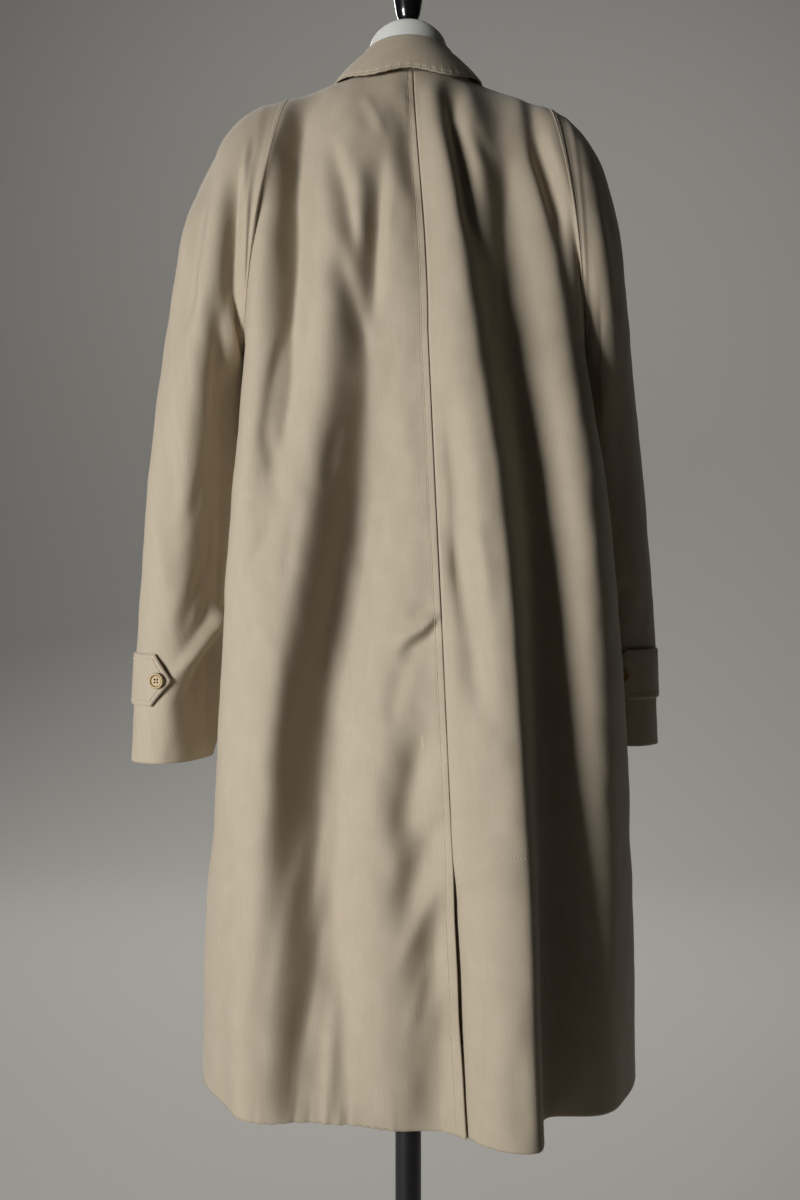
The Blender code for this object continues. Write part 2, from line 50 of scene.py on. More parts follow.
# Sizes that the cloth pieces share, as in the solids
coat = {
    "wall": 0.0012,
    "seamGap": 0.0004,
    "shoulderGap": 0.0011,
    "seamLap": 0.010,
    "sideLap": 0.006,
    "ventLap": 0.042,
    "ventTop": 0.676,
    "frontLap": 0.034,
    "frontStep": 0.0045,
    "hem": 0.4205,
    "underarm": 1.165,
    "nape": (-0.062, 1.437),
    "throat": (0.076, 1.392),
    "neckSide": (0.062, -0.002, 1.4475),
    "panelWidth": 0.195,
    "neckShare": 0.36,
    "sideRadius": 0.20,
    "leaveUp": 0.30,               # how a column leaves the underarm, and how it meets nape and shoulder
    "meetNape": (0.13, 0.17),
    "meetShoulder": (0.25, 0.04),
    "sideTuck": 0.0030,
    "seamDip": (0.0004, 0.0030),   # depth and width of the dip at a sewn edge
    "grooveWidth": 0.019,
}

# Horizontal sections of the body, from the hem to the underarm
bodySections = table("height centre half back front side square", (
    (0.4205, 0.0112, 0.2265, -0.157, 0.165, 0.035, 2.4),
    (0.5450, 0.0122, 0.2230, -0.150, 0.158, 0.025, 2.4),
    (0.6500, 0.0122, 0.2195, -0.145, 0.151, 0.015, 2.4),
    (0.7570, 0.0112, 0.2150, -0.139, 0.145, 0.005, 2.7),
    (0.8600, 0.0105, 0.2075, -0.134, 0.140, -0.005, 2.9),
    (0.9500, 0.0105, 0.2010, -0.130, 0.136, -0.010, 2.9),
    (1.0600, 0.0105, 0.1910, -0.127, 0.132, -0.010, 2.7),
    (1.1650, 0.0060, 0.1720, -0.130, 0.127, -0.008, 2.4),
))

# Hollows in the sides where the sleeves hang
sideHollows = table("height leftDepth leftMiddle rightDepth rightMiddle", (
    (0.4205, 0.000, 0.020, 0.000, 0.070),
    (0.6200, 0.000, 0.020, 0.006, 0.070),
    (0.7300, 0.018, 0.020, 0.046, 0.070),
    (0.8600, 0.036, 0.020, 0.060, 0.058),
    (0.9500, 0.032, 0.018, 0.058, 0.046),
    (1.0600, 0.018, 0.012, 0.047, 0.030),
    (1.1650, 0.000, 0.000, 0.000, 0.005),
))
hollowWidth = 0.062

# Centre-back seam
centreBack = table("height across", (
    (0.4205, 0.0500),
    (0.7300, 0.0370),
    (0.9000, 0.0296),
    (1.0600, 0.0223),
    (1.1650, 0.0175),
    (1.2900, 0.0122),
    (1.4370, 0.0040),
))

# Groove in which the centre-back seam lies
seamGroove = table("height depth", (
    (0.4205, 0.0), (0.86, 0.0), (0.98, 0.0045), (1.08, 0.0075),
    (1.20, 0.0085), (1.38, 0.0080), (1.44, 0.0),
))

# Large folds in millimetres: width left, width right, then places across and rises at five heights
foldHeights = (1380, 1200, 1000, 780, 420)
backFolds = {
    "leftShoulderRidge": (20, 24, (-132, -138, -146, -160, -150), (4, 9, 4, 2, 12)),
    "leftBladeRidge": (30, 22, (-70, -78, -98, -128, -125), (3, 8, 10, 12, 10)),
    "leftLongTrough": (24, 45, (-22, -33, -49, -86, -102), (-2, -14, -30, -36, -10)),
    "seamHollow": (50, 16, (10, 15, 24, 34, 48), (0, 0, -3, -7, -14)),
    "leftHemTrough": (24, 26, (-50, -50, -50, -55, -48), (0, 0, 0, 0, -10)),
    "napeTrough": (14, 16, (43, 78, 100, 100, 100), (-12, -8, 0, 0, 0)),
    "rightMainRidge": (55, 21, (30, 50, 80, 94, 98), (4, 12, 24, 39, 62)),
    "rightMainTrough": (22, 28, (86, 104, 127, 135, 136), (-3, -22, -28, -26, -18)),
    "rightSideRidge": (22, 24, (122, 146, 164, 178, 182), (4, 12, 13, 12, 10)),
    "rightShoulderTrough": (10, 12, (126, 155, 170, 170, 170), (-8, -3, 0, 0, 0)),
}
# Folds that cross the armholes and shift panel and sleeve alike: widths, then rows of the path
pathColumns = "height across rise"
shoulderFolds = {
    "leftOverhang": (10, 24, table(pathColumns, (
        (940, -168, 0), (1020, -163, 5), (1100, -158, 10), (1166, -154, 14), (1236, -149, 15),
        (1300, -142, 13), (1367, -128, 10), (1405, -119, 6), (1440, -114, 0),
    ), mm)),
    "leftDeepTrough": (20, 20, table(pathColumns, (
        (940, -135, 0), (1020, -129, -6), (1100, -111, -16), (1166, -110, -21), (1236, -106, -22),
        (1300, -109, -22), (1367, -108, -21), (1405, -102, -12), (1440, -98, 0),
    ), mm)),
    "leftEdgeRidge": (20, 64, table(pathColumns, (
        (600, -172, 0), (800, -174, 8), (940, -170, 16), (1020, -166, 14), (1100, -162, 6),
        (1200, -158, 0),
    ), mm)),
    "rightOverhang": (12, 10, table(pathColumns, (
        (940, 184, 0), (1020, 180, 1), (1100, 176, 3), (1166, 172, 5), (1236, 163, 8),
        (1300, 156, 8), (1367, 144, 4), (1440, 130, 0),
    ), mm)),
}
frontFolds = {
    "leftChestTrough": (26, 22, (-96, -104, -112, -120, -128), (-4, -14, -20, -24, -22)),
    "leftSkirtRidge": (28, 22, (-60, -66, -72, -80, -88), (3, 8, 11, 15, 22)),
    "rightSkirtRidge": (22, 30, (68, 74, 80, 88, 98), (3, 7, 11, 16, 24)),
    "rightChestTrough": (20, 24, (110, 112, 118, 130, 142), (-4, -13, -20, -24, -24)),
}

# Creases listed one by one, in millimetres: both ends, bow of the line, width above and below it, rise
creaseColumns = "startX startZ endX endZ bow above below rise"
backCreases = table(creaseColumns, (
    (32, 900, -16, 868, -3, 7.5, 3.2, 6.2),  # pinch beside the seam
    (32, 889, -14, 856, -3, 4.2, 11, -6.2),
    (30, 905, -4, 893, 2, 6, 5, -1.8),
    (-122, 1180, -140, 1040, 2, 5, 8, -3.4),  # end of the left shoulder trough
    (-78, 1372, -52, 1225, 3, 7, 10, -6.6),  # hollows between the blades
    (-24, 1350, -36, 1165, 1, 11, 7, -8.5),
    (-50, 1340, -44, 1240, 1, 7, 7, 2.2),
    (-78, 1268, -40, 1120, 3, 9, 11, -5.8),
    (-14, 1418, 4, 1290, 2, 8, 12, -3.6),
    (-46, 1412, -20, 1350, 0, 5, 6, 1.4),
    (-85, 1375, -78, 1240, 2, 9, 9, 2),
    (57, 1385, 85, 1330, 2, 7, 8, -1.4),
    (37, 1420, 62, 1225, 3, 10, 7, -8),  # right shoulder
    (94, 1375, 105, 1190, 3, 10, 9, -4.5),
    (116, 1385, 152, 1240, 4, 8, 10, -7),
    (132, 1385, 160, 1280, 3, 6, 6, 1.6),
    (-64, 1085, -78, 1010, 2, 5, 5, -2),  # left wall of the long trough
    (-142, 1085, -128, 1020, 2, 7, 7, -2),
    (-128, 985, -154, 925, 2, 6, 7, -1.6),
    (-150, 900, -110, 830, 3, 8, 8, 1.6),
    (-100, 1020, -118, 905, 2, 6, 6, -1.4),
    (34, 1125, 50, 880, 3, 10, 9, -8.5),  # right of the seam
    (38, 1000, 66, 780, 3, 11, 11, -10),
    (80, 775, 66, 670, 3, 11, 12, -2.8),
    (58, 1000, 72, 880, 2, 6, 7, 1.6),
    (2, 864, -18, 790, 3, 14, 9, -4),  # slack cloth left of the vent
    (18, 800, -6, 660, 3, 18, 15, -12),
    (38, 722, -8, 595, 5, 16, 17, -10.5),
    (50, 662, 14, 510, 5, 15, 24, -11),
    (52, 570, 22, 400, 3, 22, 22, -10),
    (32, 660, -18, 548, 2, 8, 8, 3),
    (24, 585, -2, 500, 2, 6, 6, 1.8),
    (-94, 690, -38, 710, 1, 1.6, 1.6, -1),  # fold mark
    (-100, 880, -118, 600, 3, 10, 22, -8),  # sharper wall of the long trough
    (-69, 600, -68, 395, 2, 14, 11, -8.5),  # lower left and hem
    (-80, 660, -78, 490, 2, 18, 13, -10),
    (-106, 560, -110, 395, 2, 8, 12, -7),
    (-93, 640, -91, 375, 2, 12, 12, -7),
    (-64, 820, -74, 600, 2, 18, 16, -7),
    (48, 640, 50, 470, 1, 10, 10, -5),
    (-98, 725, -124, 510, 4, 6, 8, 2.8),
    (-86, 640, -108, 470, 3, 7, 8, -3),
    (-120, 640, -140, 450, 3, 8, 8, -1.6),
    (85, 520, 88, 420, 0, 8, 8, -2.2),
    (165, 700, 176, 520, 4, 10, 10, -2.4),
    (150, 980, 172, 760, 3, 8, 8, 1.6),
), mm)
frontCreases = table(creaseColumns, (
    (-160, 1170, -70, 1080, 4, 9, 11, -6),  # drag lines below the armholes
    (160, 1170, 75, 1070, 4, 9, 11, -6),
    (-150, 1120, -85, 1030, 3, 8, 9, 3),
    (152, 1110, 90, 1020, 3, 8, 9, 3),
    (-130, 970, -60, 890, 3, 8, 9, 3),
    (140, 950, 70, 850, 3, 8, 9, 3),
    (-50, 760, -85, 520, 4, 11, 14, -6),  # long drags in the skirt
    (60, 740, 100, 500, 4, 11, 14, -6),
    (-140, 700, -150, 450, 3, 10, 12, -5),
    (150, 680, 164, 440, 3, 10, 12, -5),
    (-30, 1320, -85, 1200, 2, 9, 11, -3.6),  # chest
    (50, 1320, 92, 1190, 2, 9, 11, -3.6),
    (-118, 1330, -126, 1230, 2, 8, 10, -2.4),
    (120, 1330, 134, 1220, 2, 8, 10, -2.4),
), mm)


# Formula: cubic pieces between the rows of a table, with the mean slope at each row
def through(rows, name, at, key="height"):
    places, values = rows[key], rows[name]
    slopes = np.gradient(values, places)
    at = np.clip(at, places[0], places[-1])
    index = np.clip(np.searchsorted(places, at) - 1, 0, len(places) - 2)
    span = places[index + 1] - places[index]
    t = (at - places[index]) / span
    return (
        values[index] * (1 + 2 * t) * (1 - t) ** 2
        + values[index + 1] * t * t * (3 - 2 * t)
        + span * (slopes[index] * t * (1 - t) ** 2 - slopes[index + 1] * t * t * (1 - t))
    )


# Formula: three t squared less two t cubed, between 0 and 1
def ease(t):
    t = np.clip(t, 0.0, 1.0)
    return t * t * (3 - 2 * t)


# Formula: a power that keeps the value's sign
def power(value, exponent):
    return np.sign(value) * np.abs(value) ** exponent


# Formula: a squared-off ellipse of the section's half width and depths, pressed in where a sleeve hangs
def ring(turn, height):
    turn, height = np.broadcast_arrays(turn, height)
    part = {name: through(bodySections, name, height) for name in bodySections if name != "height"}
    bend = 2 / part["square"]
    deep = np.where(np.cos(turn) > 0, part["side"] - part["back"], part["front"] - part["side"])
    x = part["half"] * power(np.sin(turn), bend)
    y = part["side"] - deep * power(np.cos(turn), bend)
    for side, name in ((-1, "left"), (1, "right")):
        depth = through(sideHollows, name + "Depth", height)
        middle = through(sideHollows, name + "Middle", height)
        x = x - side * depth * np.exp(-(((y - middle) / hollowWidth) ** 2)) * ease(side * x / 0.10)
    return np.stack((part["centre"] + x, y, height + 0.0 * x), axis=-1)


# Formula: the turn at which a section is that far across, from the squared-off ellipse
def turnAt(across, height):
    part = {name: through(bodySections, name, height) for name in ("centre", "half", "square")}
    return np.arcsin(power((across - part["centre"]) / part["half"], part["square"] / 2))


# Formula: turns that cut the section between two turns into given shares of its length
def spreadTurns(start, end, heights, shares):
    fine = np.linspace(0.0, 1.0, 1200)
    turns = start[:, None] + (end - start)[:, None] * fine
    line = ring(turns, heights[:, None])
    lengths = np.cumsum(np.linalg.norm(np.diff(line, axis=1), axis=2), axis=1)
    lengths = np.concatenate((np.zeros((len(heights), 1)), lengths), axis=1)
    found = [np.interp(shares * length[-1], length, turn) for length, turn in zip(lengths, turns)]
    return np.array(found).T, lengths[:, -1]


sleeveColumns = "outerX outerZ innerX innerZ middle depth"
sleeveTables = {
    -1: table(sleeveColumns, (
        (-128, 1422.5, 0, 0, 0, 75),
        (-168, 1406, -169, 1153, -7.5, 78),
        (-205, 1362, -170.5, 1136, -5, 80),
        (-230.5, 1299, -172, 1112, 0, 80),
        (-244.5, 1225, -173.5, 1072, 6, 78),
        (-259, 1131, -175, 1012, 12, 75),
        (-273, 1026.3, -177.5, 942, 17, 72),
        (-281.5, 910, -183, 862, 20, 69),
        (-286.8, 814.8, -195, 792, 20, 66),
        (-289.9, 744, -207.4, 746, 20, 65),
    ), mm),
    1: table(sleeveColumns, (
        (148, 1413.5, 0, 0, 0, 72),
        (175, 1391, 181, 1153, -7.5, 75),
        (199.5, 1351, 181.5, 1136, -3, 77),
        (218, 1292, 181, 1112, 7, 77),
        (230.5, 1218, 179, 1072, 25, 75),
        (241, 1132, 175, 1012, 44, 71),
        (255, 1028, 173.5, 942, 60, 68),
        (266.2, 915, 176, 866, 70, 66),
        (271, 820, 183, 800, 75, 64),
        (272.5, 755, 190, 757, 77, 63),
    ), mm),
}
for armSide, armRows in sleeveTables.items():
    armpit = ring(np.array(armSide * math.pi / 2), np.array(coat["underarm"]))
    armRows["innerX"][0], armRows["middle"][0], armRows["innerZ"][0] = armpit
    armRows["row"] = np.linspace(0.0, 1.0, len(armRows["depth"]))


# Formula: from the outer to the inner line by the eased blend, bulging to the back or front as a parabola
def halfLoop(rows, row, t, face):
    part = {name: through(rows, name, row, "row") for name in rows if name != "row"}
    blend = t * t * (3 - 2 * t)
    x = part["outerX"] + (part["innerX"] - part["outerX"]) * blend
    z = part["outerZ"] + (part["innerZ"] - part["outerZ"]) * blend
    y = part["middle"] + face * 4 * part["depth"] * t * (1 - t)
    return np.stack(np.broadcast_arrays(x, y, z), axis=-1)


# Formula: the cubic from start to end with the two given slopes
def hermite(start, end, leave, arrive, t):
    return (
        start * (1 + 2 * t) * (1 - t) ** 2
        + end * t * t * (3 - 2 * t)
        + leave * t * (1 - t) ** 2
        - arrive * t * t * (1 - t)
    )


# Formula: sum of bells across the body, each along its own path in height
def bellRise(paths, x, z):
    rise = np.zeros_like(x)
    for left, right, path in paths.values():
        away = x - through(path, "across", z)
        width = np.where(away < 0, left, right) * mm
        rise += through(path, "rise", z) * np.exp(-((away / width) ** 2))
    return rise


# Formula: the same bells, each path through its places and rises at the five fold heights
def foldRise(folds, x, z):
    paths = {
        name: (left, right, table(pathColumns, tuple(zip(foldHeights, across, rises))[::-1], mm))
        for name, (left, right, across, rises) in folds.items()
    }
    return bellRise(paths, x, z)


# Formula: sum of bells across bowed lines, each fading out towards both ends of its line
def creaseRise(creases, x, z):
    rise = np.zeros_like(x)
    for startX, startZ, endX, endZ, bow, above, below, height in zip(*creases.values()):
        length = math.hypot(endX - startX, endZ - startZ)
        alongX, alongZ = (endX - startX) / length, (endZ - startZ) / length
        t = ((x - startX) * alongX + (z - startZ) * alongZ) / length
        away = (x - startX) * -alongZ + (z - startZ) * alongX
        away = away * (1 if alongX > 0 else -1) - bow * 4 * np.clip(t, 0, 1) * (1 - np.clip(t, 0, 1))
        width = np.where(away > 0, above, below)
        rise += height * np.exp(-((away / width) ** 2)) * ease(t / 0.35) * ease((1 - t) / 0.35)
    return rise


# Formula: sum of sines of unlike lengths and directions, longer ones higher, mostly varying across
def unevenness(across, upwards, seed):
    dice = np.random.default_rng(seed)
    rise = np.zeros_like(across)
    for _ in range(26):
        length = 0.018 * 5.0 ** dice.random()
        angle = 0.55 * dice.standard_normal()
        phase = 2 * math.pi * dice.random()
        along = across * math.cos(angle) + upwards * math.sin(angle)
        rise += 0.0024 * length * np.sin(2 * math.pi * along / length + phase)
    return rise


# Formula: a quarter of an ellipse from the centre to the neck side, then the straight shoulder seam
def topEdge(side, face, u):
    share = coat["neckShare"]
    neck = np.array((side * coat["neckSide"][0], *coat["neckSide"][1:]))
    shoulder = halfLoop(sleeveTables[side], 0.0, np.array(0.0), face)
    middle = (0.0, *coat["throat"])
    if face < 0:
        middle = (float(through(centreBack, "across", coat["nape"][1])), *coat["nape"])
    q = np.clip(u / share, 0.0, 1.0)[..., None] * math.pi / 2
    neckline = np.concatenate(
        (
            middle[0] + (neck[0] - middle[0]) * np.sin(q),
            neck[1] + (middle[1] - neck[1]) * np.cos(q),
            neck[2] + (middle[2] - neck[2]) * np.cos(q) ** 1.4,
        ),
        axis=-1,
    )
    t = np.clip((u - share) / (1 - share), 0.0, 1.0)[..., None]
    edge = np.where((u < share)[..., None], neckline, neck + (shoulder - neck) * t)
    edge[..., 1] += face * coat["shoulderGap"] / 2 * ease(u / share)
    return edge


# Formula: the cross product of the steps along columns and rows, as unit lengths
def gridNormals(points, outwards):
    normal = np.cross(np.gradient(points, axis=0), np.gradient(points, axis=1)) * outwards
    return normal / np.maximum(np.linalg.norm(normal, axis=-1, keepdims=True), 1e-12)


# Formula: lengths along the grid's columns and rows, in metres, so that the weave keeps its size
def gridLengths(points):
    across = np.linalg.norm(np.diff(points, axis=0), axis=2)
    upwards = np.linalg.norm(np.diff(points, axis=1), axis=2)
    u = np.concatenate((np.zeros((1, points.shape[1])), np.cumsum(across, axis=0)))
    v = np.concatenate((np.zeros((points.shape[0], 1)), np.cumsum(upwards, axis=1)), axis=1)
    return np.stack((u, v), axis=-1)


# Formula: 0 above the vent, easing to 1 just below its top
def ventOpen(z):
    return ease((coat["ventTop"] - z) / 0.05)


# Formula: each point moved halfway to the mean of its neighbours across, many times, less by the edges
def smoothYoke(high, share, climbs):
    across = ease((share - 0.10) / 0.12) * ease((0.90 - share) / 0.15)
    upwards = ease((1.0 - climbs) / 0.10) * ease(climbs / 0.25)
    weight = (across[:, None] * upwards[None, :])[..., None]
    for _ in range(70):
        mean = (high[:-2] + high[2:]) / 2
        high[1:-1] += 0.5 * weight[1:-1] * (mean - high[1:-1])
    return high


# Formula: section points below the underarm and cubic columns above it, with the rise of folds and seams
def bodyPanel(side, face, shares, heights, climbs):
    start = turnAt(through(centreBack, "across", heights), heights)
    if face > 0:
        start = side * math.pi - turnAt(0.0 * heights, heights)
    # Below the underarm the back runs on under the edge of the front
    under = (coat["sideLap"] if face < 0 else 0.0) * ease((1.13 - heights) / 0.05)
    gap = face * coat["seamGap"] * (1 - under / coat["sideLap"])
    end = side * (math.pi / 2 + (gap + under) / coat["sideRadius"])
    past = np.minimum(shares, 0.0)[:, None]
    lapLow = np.full(len(heights), coat["frontLap"])
    lapHigh = 1 - 0.86 * climbs ** 3
    if face < 0:
        lapLow = coat["seamLap"] + (coat["ventLap"] - coat["seamLap"]) * ventOpen(heights)
        lapHigh = np.ones(len(climbs))
    turns, lengths = spreadTurns(start, end, heights, np.maximum(shares, 0.0))
    flat = (turns - start) / (end - start)
    turns = turns + side * -face * past * lapLow / coat["panelWidth"]
    low = ring(turns, heights[None, :])
    share = flat[:, -1]
    top = topEdge(side, face, share)[:, None, :]
    anchor = ring((start[-1] + (end[-1] - start[-1]) * share)[:, None], np.array([[coat["underarm"]]]))
    depth = 4 * sleeveTables[side]["depth"][0]
    hang = (share ** 5)[:, None, None]
    bend = ease(share / coat["neckShare"])[:, None, None]
    turnOut = np.array((0.0, face, 1.0))
    level = np.array((0.0, face * depth, 0.0))
    ends = (coat["meetNape"], coat["meetShoulder"])
    atNape, atShoulder = (np.array((0.0, -out, up)) * turnOut for out, up in ends)
    leave = np.array((0.0, 0.0, coat["leaveUp"])) * (1 - hang) + level * hang
    arrive = (atNape * (1 - bend) + atShoulder * bend) * (1 - hang) - level * hang
    high = smoothYoke(hermite(anchor, top, leave, arrive, climbs[None, :, None]), share, climbs)
    lap = (low[:, -1] - anchor[:, 0]) * (past < 0)
    high += lap[:, None, :] * lapHigh[None, :, None]
    high[..., 0] -= side * coat["seamGap"] * 0.5 * hang[..., 0]
    points = np.concatenate((low, high), axis=1)
    outwards = 1.0 if side * -face > 0 else -1.0
    flat = np.concatenate((flat, np.repeat(share[:, None], len(climbs), axis=1)), axis=1)
    climb = np.concatenate((np.zeros(len(heights)), climbs))
    x, z = points[..., 0], points[..., 2]
    # Folds die out by the side seam and by the shoulder
    fade = ease((1 - flat) / (0.16 + 0.18 * ease((z - 1.06) / 0.16))) * ease((1 - climb) / 0.25)
    rise = foldRise(backFolds if face < 0 else frontFolds, x, z) * fade
    rise += creaseRise(backCreases if face < 0 else frontCreases, x, z) * ease((1 - flat) / 0.08)
    rise += unevenness(x, z, 11 - face) * ease((1 - flat) / 0.06) * ease((1 - climb) / 0.04)
    # Distance from the centre edge and from the side edge, along the cloth
    size = np.concatenate((lengths, np.full(len(climbs), lengths[-1])))
    fromCentre = np.maximum(shares, 0.0)[:, None] * size
    fromSide = (1 - np.maximum(shares, 0.0))[:, None] * size
    dip, dipWidth = coat["seamDip"]
    rise -= dip * np.exp(-((fromSide / dipWidth) ** 2))
    below = slice(0, len(heights))
    tucked = ease(1 - (fromSide[:, below] - 0.004) / 0.008)
    rise[:, below] -= coat["sideTuck"] * (under / coat["sideLap"]) * tucked
    if face < 0:
        rise -= through(seamGroove, "depth", z) * np.exp(-((fromCentre / coat["grooveWidth"]) ** 2))
        bySide = ease((1 - flat) / 0.14)
        bySide = bySide + (1 - bySide) * ease((z - 1.08) / 0.08)
        points[..., 1] -= bellRise(shoulderFolds, x, z) * bySide * ease((1 - climb) / 0.10)
    return {"points": points, "rise": rise, "outwards": outwards, "fromCentre": fromCentre, "past": past}


# Formula: the points moved along their normals by the rise
def raised(panel):
    normal = gridNormals(panel["points"], panel["outwards"])
    panel["points"] = panel["points"] + normal * panel["rise"][..., None]
    panel["normals"] = gridNormals(panel["points"], panel["outwards"])
    return panel


collection = bpy.context.scene.collection


def addMesh(name, points, faces, material, uv=None):
    mesh = bpy.data.meshes.new(name)
    mesh.from_pydata(points.reshape(-1, 3).tolist(), [], faces.tolist())
    if uv is not None:
        layer = mesh.uv_layers.new(name="cloth")
        layer.data.foreach_set("uv", uv.reshape(-1, 2)[faces.ravel()].ravel())
    mesh.polygons.foreach_set("use_smooth", np.ones(len(faces), bool))
    mesh.materials.append(material)
    mesh.update()
    item = bpy.data.objects.new(name, mesh)
    collection.objects.link(item)
    return item


# A piece rides on the one body, and stands for a solid if it has one
def dress(item, node=None):
    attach(item, "root")
    if node:
        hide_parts(node)
    return item


# Formula: four corners of each cell, turned to face outwards
def gridFaces(columns, rows, outwards):
    i, j = np.meshgrid(np.arange(columns - 1), np.arange(rows - 1), indexing="ij")
    a = (i * rows + j).ravel()
    faces = np.stack((a, a + rows, a + rows + 1, a + 1), axis=1)
    return faces if outwards > 0 else faces[:, ::-1]


def addCloth(node, points, outwards, wall):
    faces = gridFaces(*points.shape[:2], outwards)
    item = addMesh(node + "_cloth", points, faces, gabardine, gridLengths(points))
    shell = item.modifiers.new("wall", "SOLIDIFY")
    shell.thickness = wall
    shell.offset = -1.0
    shell.use_even_offset = False
    return dress(item, node)


# Formula: points of a grid between its columns and rows, blended from the four round them
def onGrid(grid, column, row):
    i = np.clip(np.floor(column).astype(int), 0, grid.shape[0] - 2)
    j = np.clip(np.floor(row).astype(int), 0, grid.shape[1] - 2)
    a, b = (column - i)[:, None], (row - j)[:, None]
    low = grid[i, j] * (1 - a) + grid[i + 1, j] * a
    high = grid[i, j + 1] * (1 - a) + grid[i + 1, j + 1] * a
    return low * (1 - b) + high * b


# Formula: the line on a panel at a distance along each row, as points and normals
def lineOn(panel, reach, distances, rows):
    count = np.arange(len(reach))
    pairs = zip(distances, reach[:, rows].T)
    columns = np.array([np.interp(distance, along, count) for distance, along in pairs])
    return threadLine(panel, columns, rows.astype(float))


def threadLine(panel, columns, rows):
    return onGrid(panel["points"], columns, rows), onGrid(panel["normals"], columns, rows)


# Formula: equal lengths of thread along a line, each a six-sided tube that arches out and dips at its ends
def stitchTubes(points, normals, thread):
    steps = np.linalg.norm(np.diff(points, axis=0), axis=1)
    length = np.concatenate(((0.0,), np.cumsum(steps)))
    count = int(length[-1] / thread["pitch"])
    starts = (np.arange(count) + 0.5) * thread["pitch"]
    bends = np.array((-0.5, -0.36, 0.0, 0.36, 0.5))
    at = starts[:, None] + bends * thread["stitch"]
    centre = np.stack([np.interp(at, length, points[:, k]) for k in range(3)], axis=-1)
    normal = np.stack([np.interp(at, length, normals[:, k]) for k in range(3)], axis=-1)
    normal /= np.linalg.norm(normal, axis=-1, keepdims=True)
    along = np.gradient(centre, axis=1)
    along /= np.linalg.norm(along, axis=-1, keepdims=True)
    aside = np.cross(along, normal)
    lift = np.array((-0.9, 0.35, 0.75, 0.35, -0.9)) * thread["radius"]
    girth = np.array((0.55, 1.0, 1.0, 1.0, 0.55)) * thread["radius"]
    angle = np.linspace(0.0, 2 * math.pi, 6, endpoint=False)
    centre = centre + normal * lift[:, None]
    tube = aside[:, :, None] * np.cos(angle)[:, None] + normal[:, :, None] * np.sin(angle)[:, None]
    tube = centre[:, :, None] + tube * girth[:, None, None]
    n, r, k = np.meshgrid(np.arange(count), np.arange(4), np.arange(6), indexing="ij")
    a = n * 30 + r * 6 + k
    b = n * 30 + r * 6 + (k + 1) % 6
    faces = np.stack((a, a + 6, b + 6, b), axis=-1).reshape(-1, 4)
    return tube.reshape(-1, 3), faces


def addStitches(name, lines):
    made = [stitchTubes(points, normals, topstitch) for points, normals in lines]
    offsets = np.cumsum([0] + [len(points) for points, _ in made[:-1]])
    points = np.concatenate([points for points, _ in made])
    faces = np.concatenate([faces + offset for (_, faces), offset in zip(made, offsets)])
    return dress(addMesh(name, points, faces, threadCloth))


# Formula: a profile of radius and height carried round the vertical axis
def turnedGrid(profile, steps):
    profile = np.array(profile, float)
    angle = np.linspace(0.0, 2 * math.pi, steps + 1)
    x = np.cos(angle)[:, None] * profile[:, 0]
    y = np.sin(angle)[:, None] * profile[:, 0]
    return np.stack((x, y, np.broadcast_to(profile[:, 1], x.shape)), axis=-1)


def addTurned(node, finish, points, material):
    item = addMesh(node + "_" + finish, points, gridFaces(*points.shape[:2], 1.0), material)
    weld = item.modifiers.new("join", "WELD")
    weld.merge_threshold = 0.00002
    item.data.set_sharp_from_angle(angle=math.radians(38))
    return dress(item, node)


# Formula: the sRGB curve undone, for a colour such as #ada08b
def linear(code):
    value = np.array([int(code[i:i + 2], 16) / 255 for i in (1, 3, 5)])
    value = np.where(value <= 0.04045, value / 12.92, ((value + 0.055) / 1.055) ** 2.4)
    return (*value.tolist(), 1.0)


def addNode(tree, kind, inputs=None, links=None, **settings):
    node = tree.nodes.new(kind)
    for name, value in settings.items():
        setattr(node, name, value)
    for name, value in (inputs or {}).items():
        node.inputs[name].default_value = value
    for name, output in (links or {}).items():
        tree.links.new(output, node.inputs[name])
    return node


# Formula: noise of a given grain in object space
def addNoise(tree, grain, **inputs):
    place = addNode(tree, "ShaderNodeTexCoord").outputs["Object"]
    noise = addNode(tree, "ShaderNodeTexNoise", {"Scale": 1 / grain, **inputs}, {"Vector": place})
    return noise.outputs["Fac"]


def addBump(tree, shader, height, strength, depth):
    bump = addNode(tree, "ShaderNodeBump", {"Strength": strength, "Distance": depth}, {"Height": height})
    tree.links.new(bump.outputs["Normal"], shader.inputs["Normal"])


# Formula: one value from two, by a named operation
def addMath(tree, operation, first, second):
    links = {0: first} if isinstance(second, float) else {0: first, 1: second}
    inputs = {1: second} if isinstance(second, float) else {}
    return addNode(tree, "ShaderNodeMath", inputs, links, operation=operation).outputs[0]


def newMaterial(name, **sockets):
    material = bpy.data.materials.new(name)
    material.use_nodes = True
    shader = material.node_tree.nodes["Principled BSDF"]
    for socket, value in sockets.items():
        shader.inputs[socket.replace("_", " ")].default_value = value
    return material, material.node_tree, shader


# Cotton gabardine: matt and dense, with slubs along the warp and a faint bloom at grazing angles
weave = {
    "slubAcross": 0.0015,
    "slubAlong": 0.045,
    "twill": 0.0019,       # real ribs are 0.5 mm apart, drawn coarser so that they survive the picture
    "mottle": 0.028,
    "fuzz": 0.0007,
    "dark": "#ada08b",
    "light": "#b9ac97",
    "worn": "#c0b4a1",
}
gabardine, tree, shader = newMaterial(
    "cotton_gabardine", Roughness=0.82, Sheen_Weight=0.18, Sheen_Roughness=0.45, Specular_IOR_Level=0.28)
place = addNode(tree, "ShaderNodeUVMap", uv_map="cloth").outputs["UV"]
slubScale = (1 / weave["slubAcross"], 1 / weave["slubAlong"], 1.0)
slubPlace = addNode(tree, "ShaderNodeMapping", {"Scale": slubScale}, {"Vector": place}).outputs[0]
slub = addNode(tree, "ShaderNodeTexNoise", {"Scale": 1.0}, {"Vector": slubPlace}).outputs["Fac"]
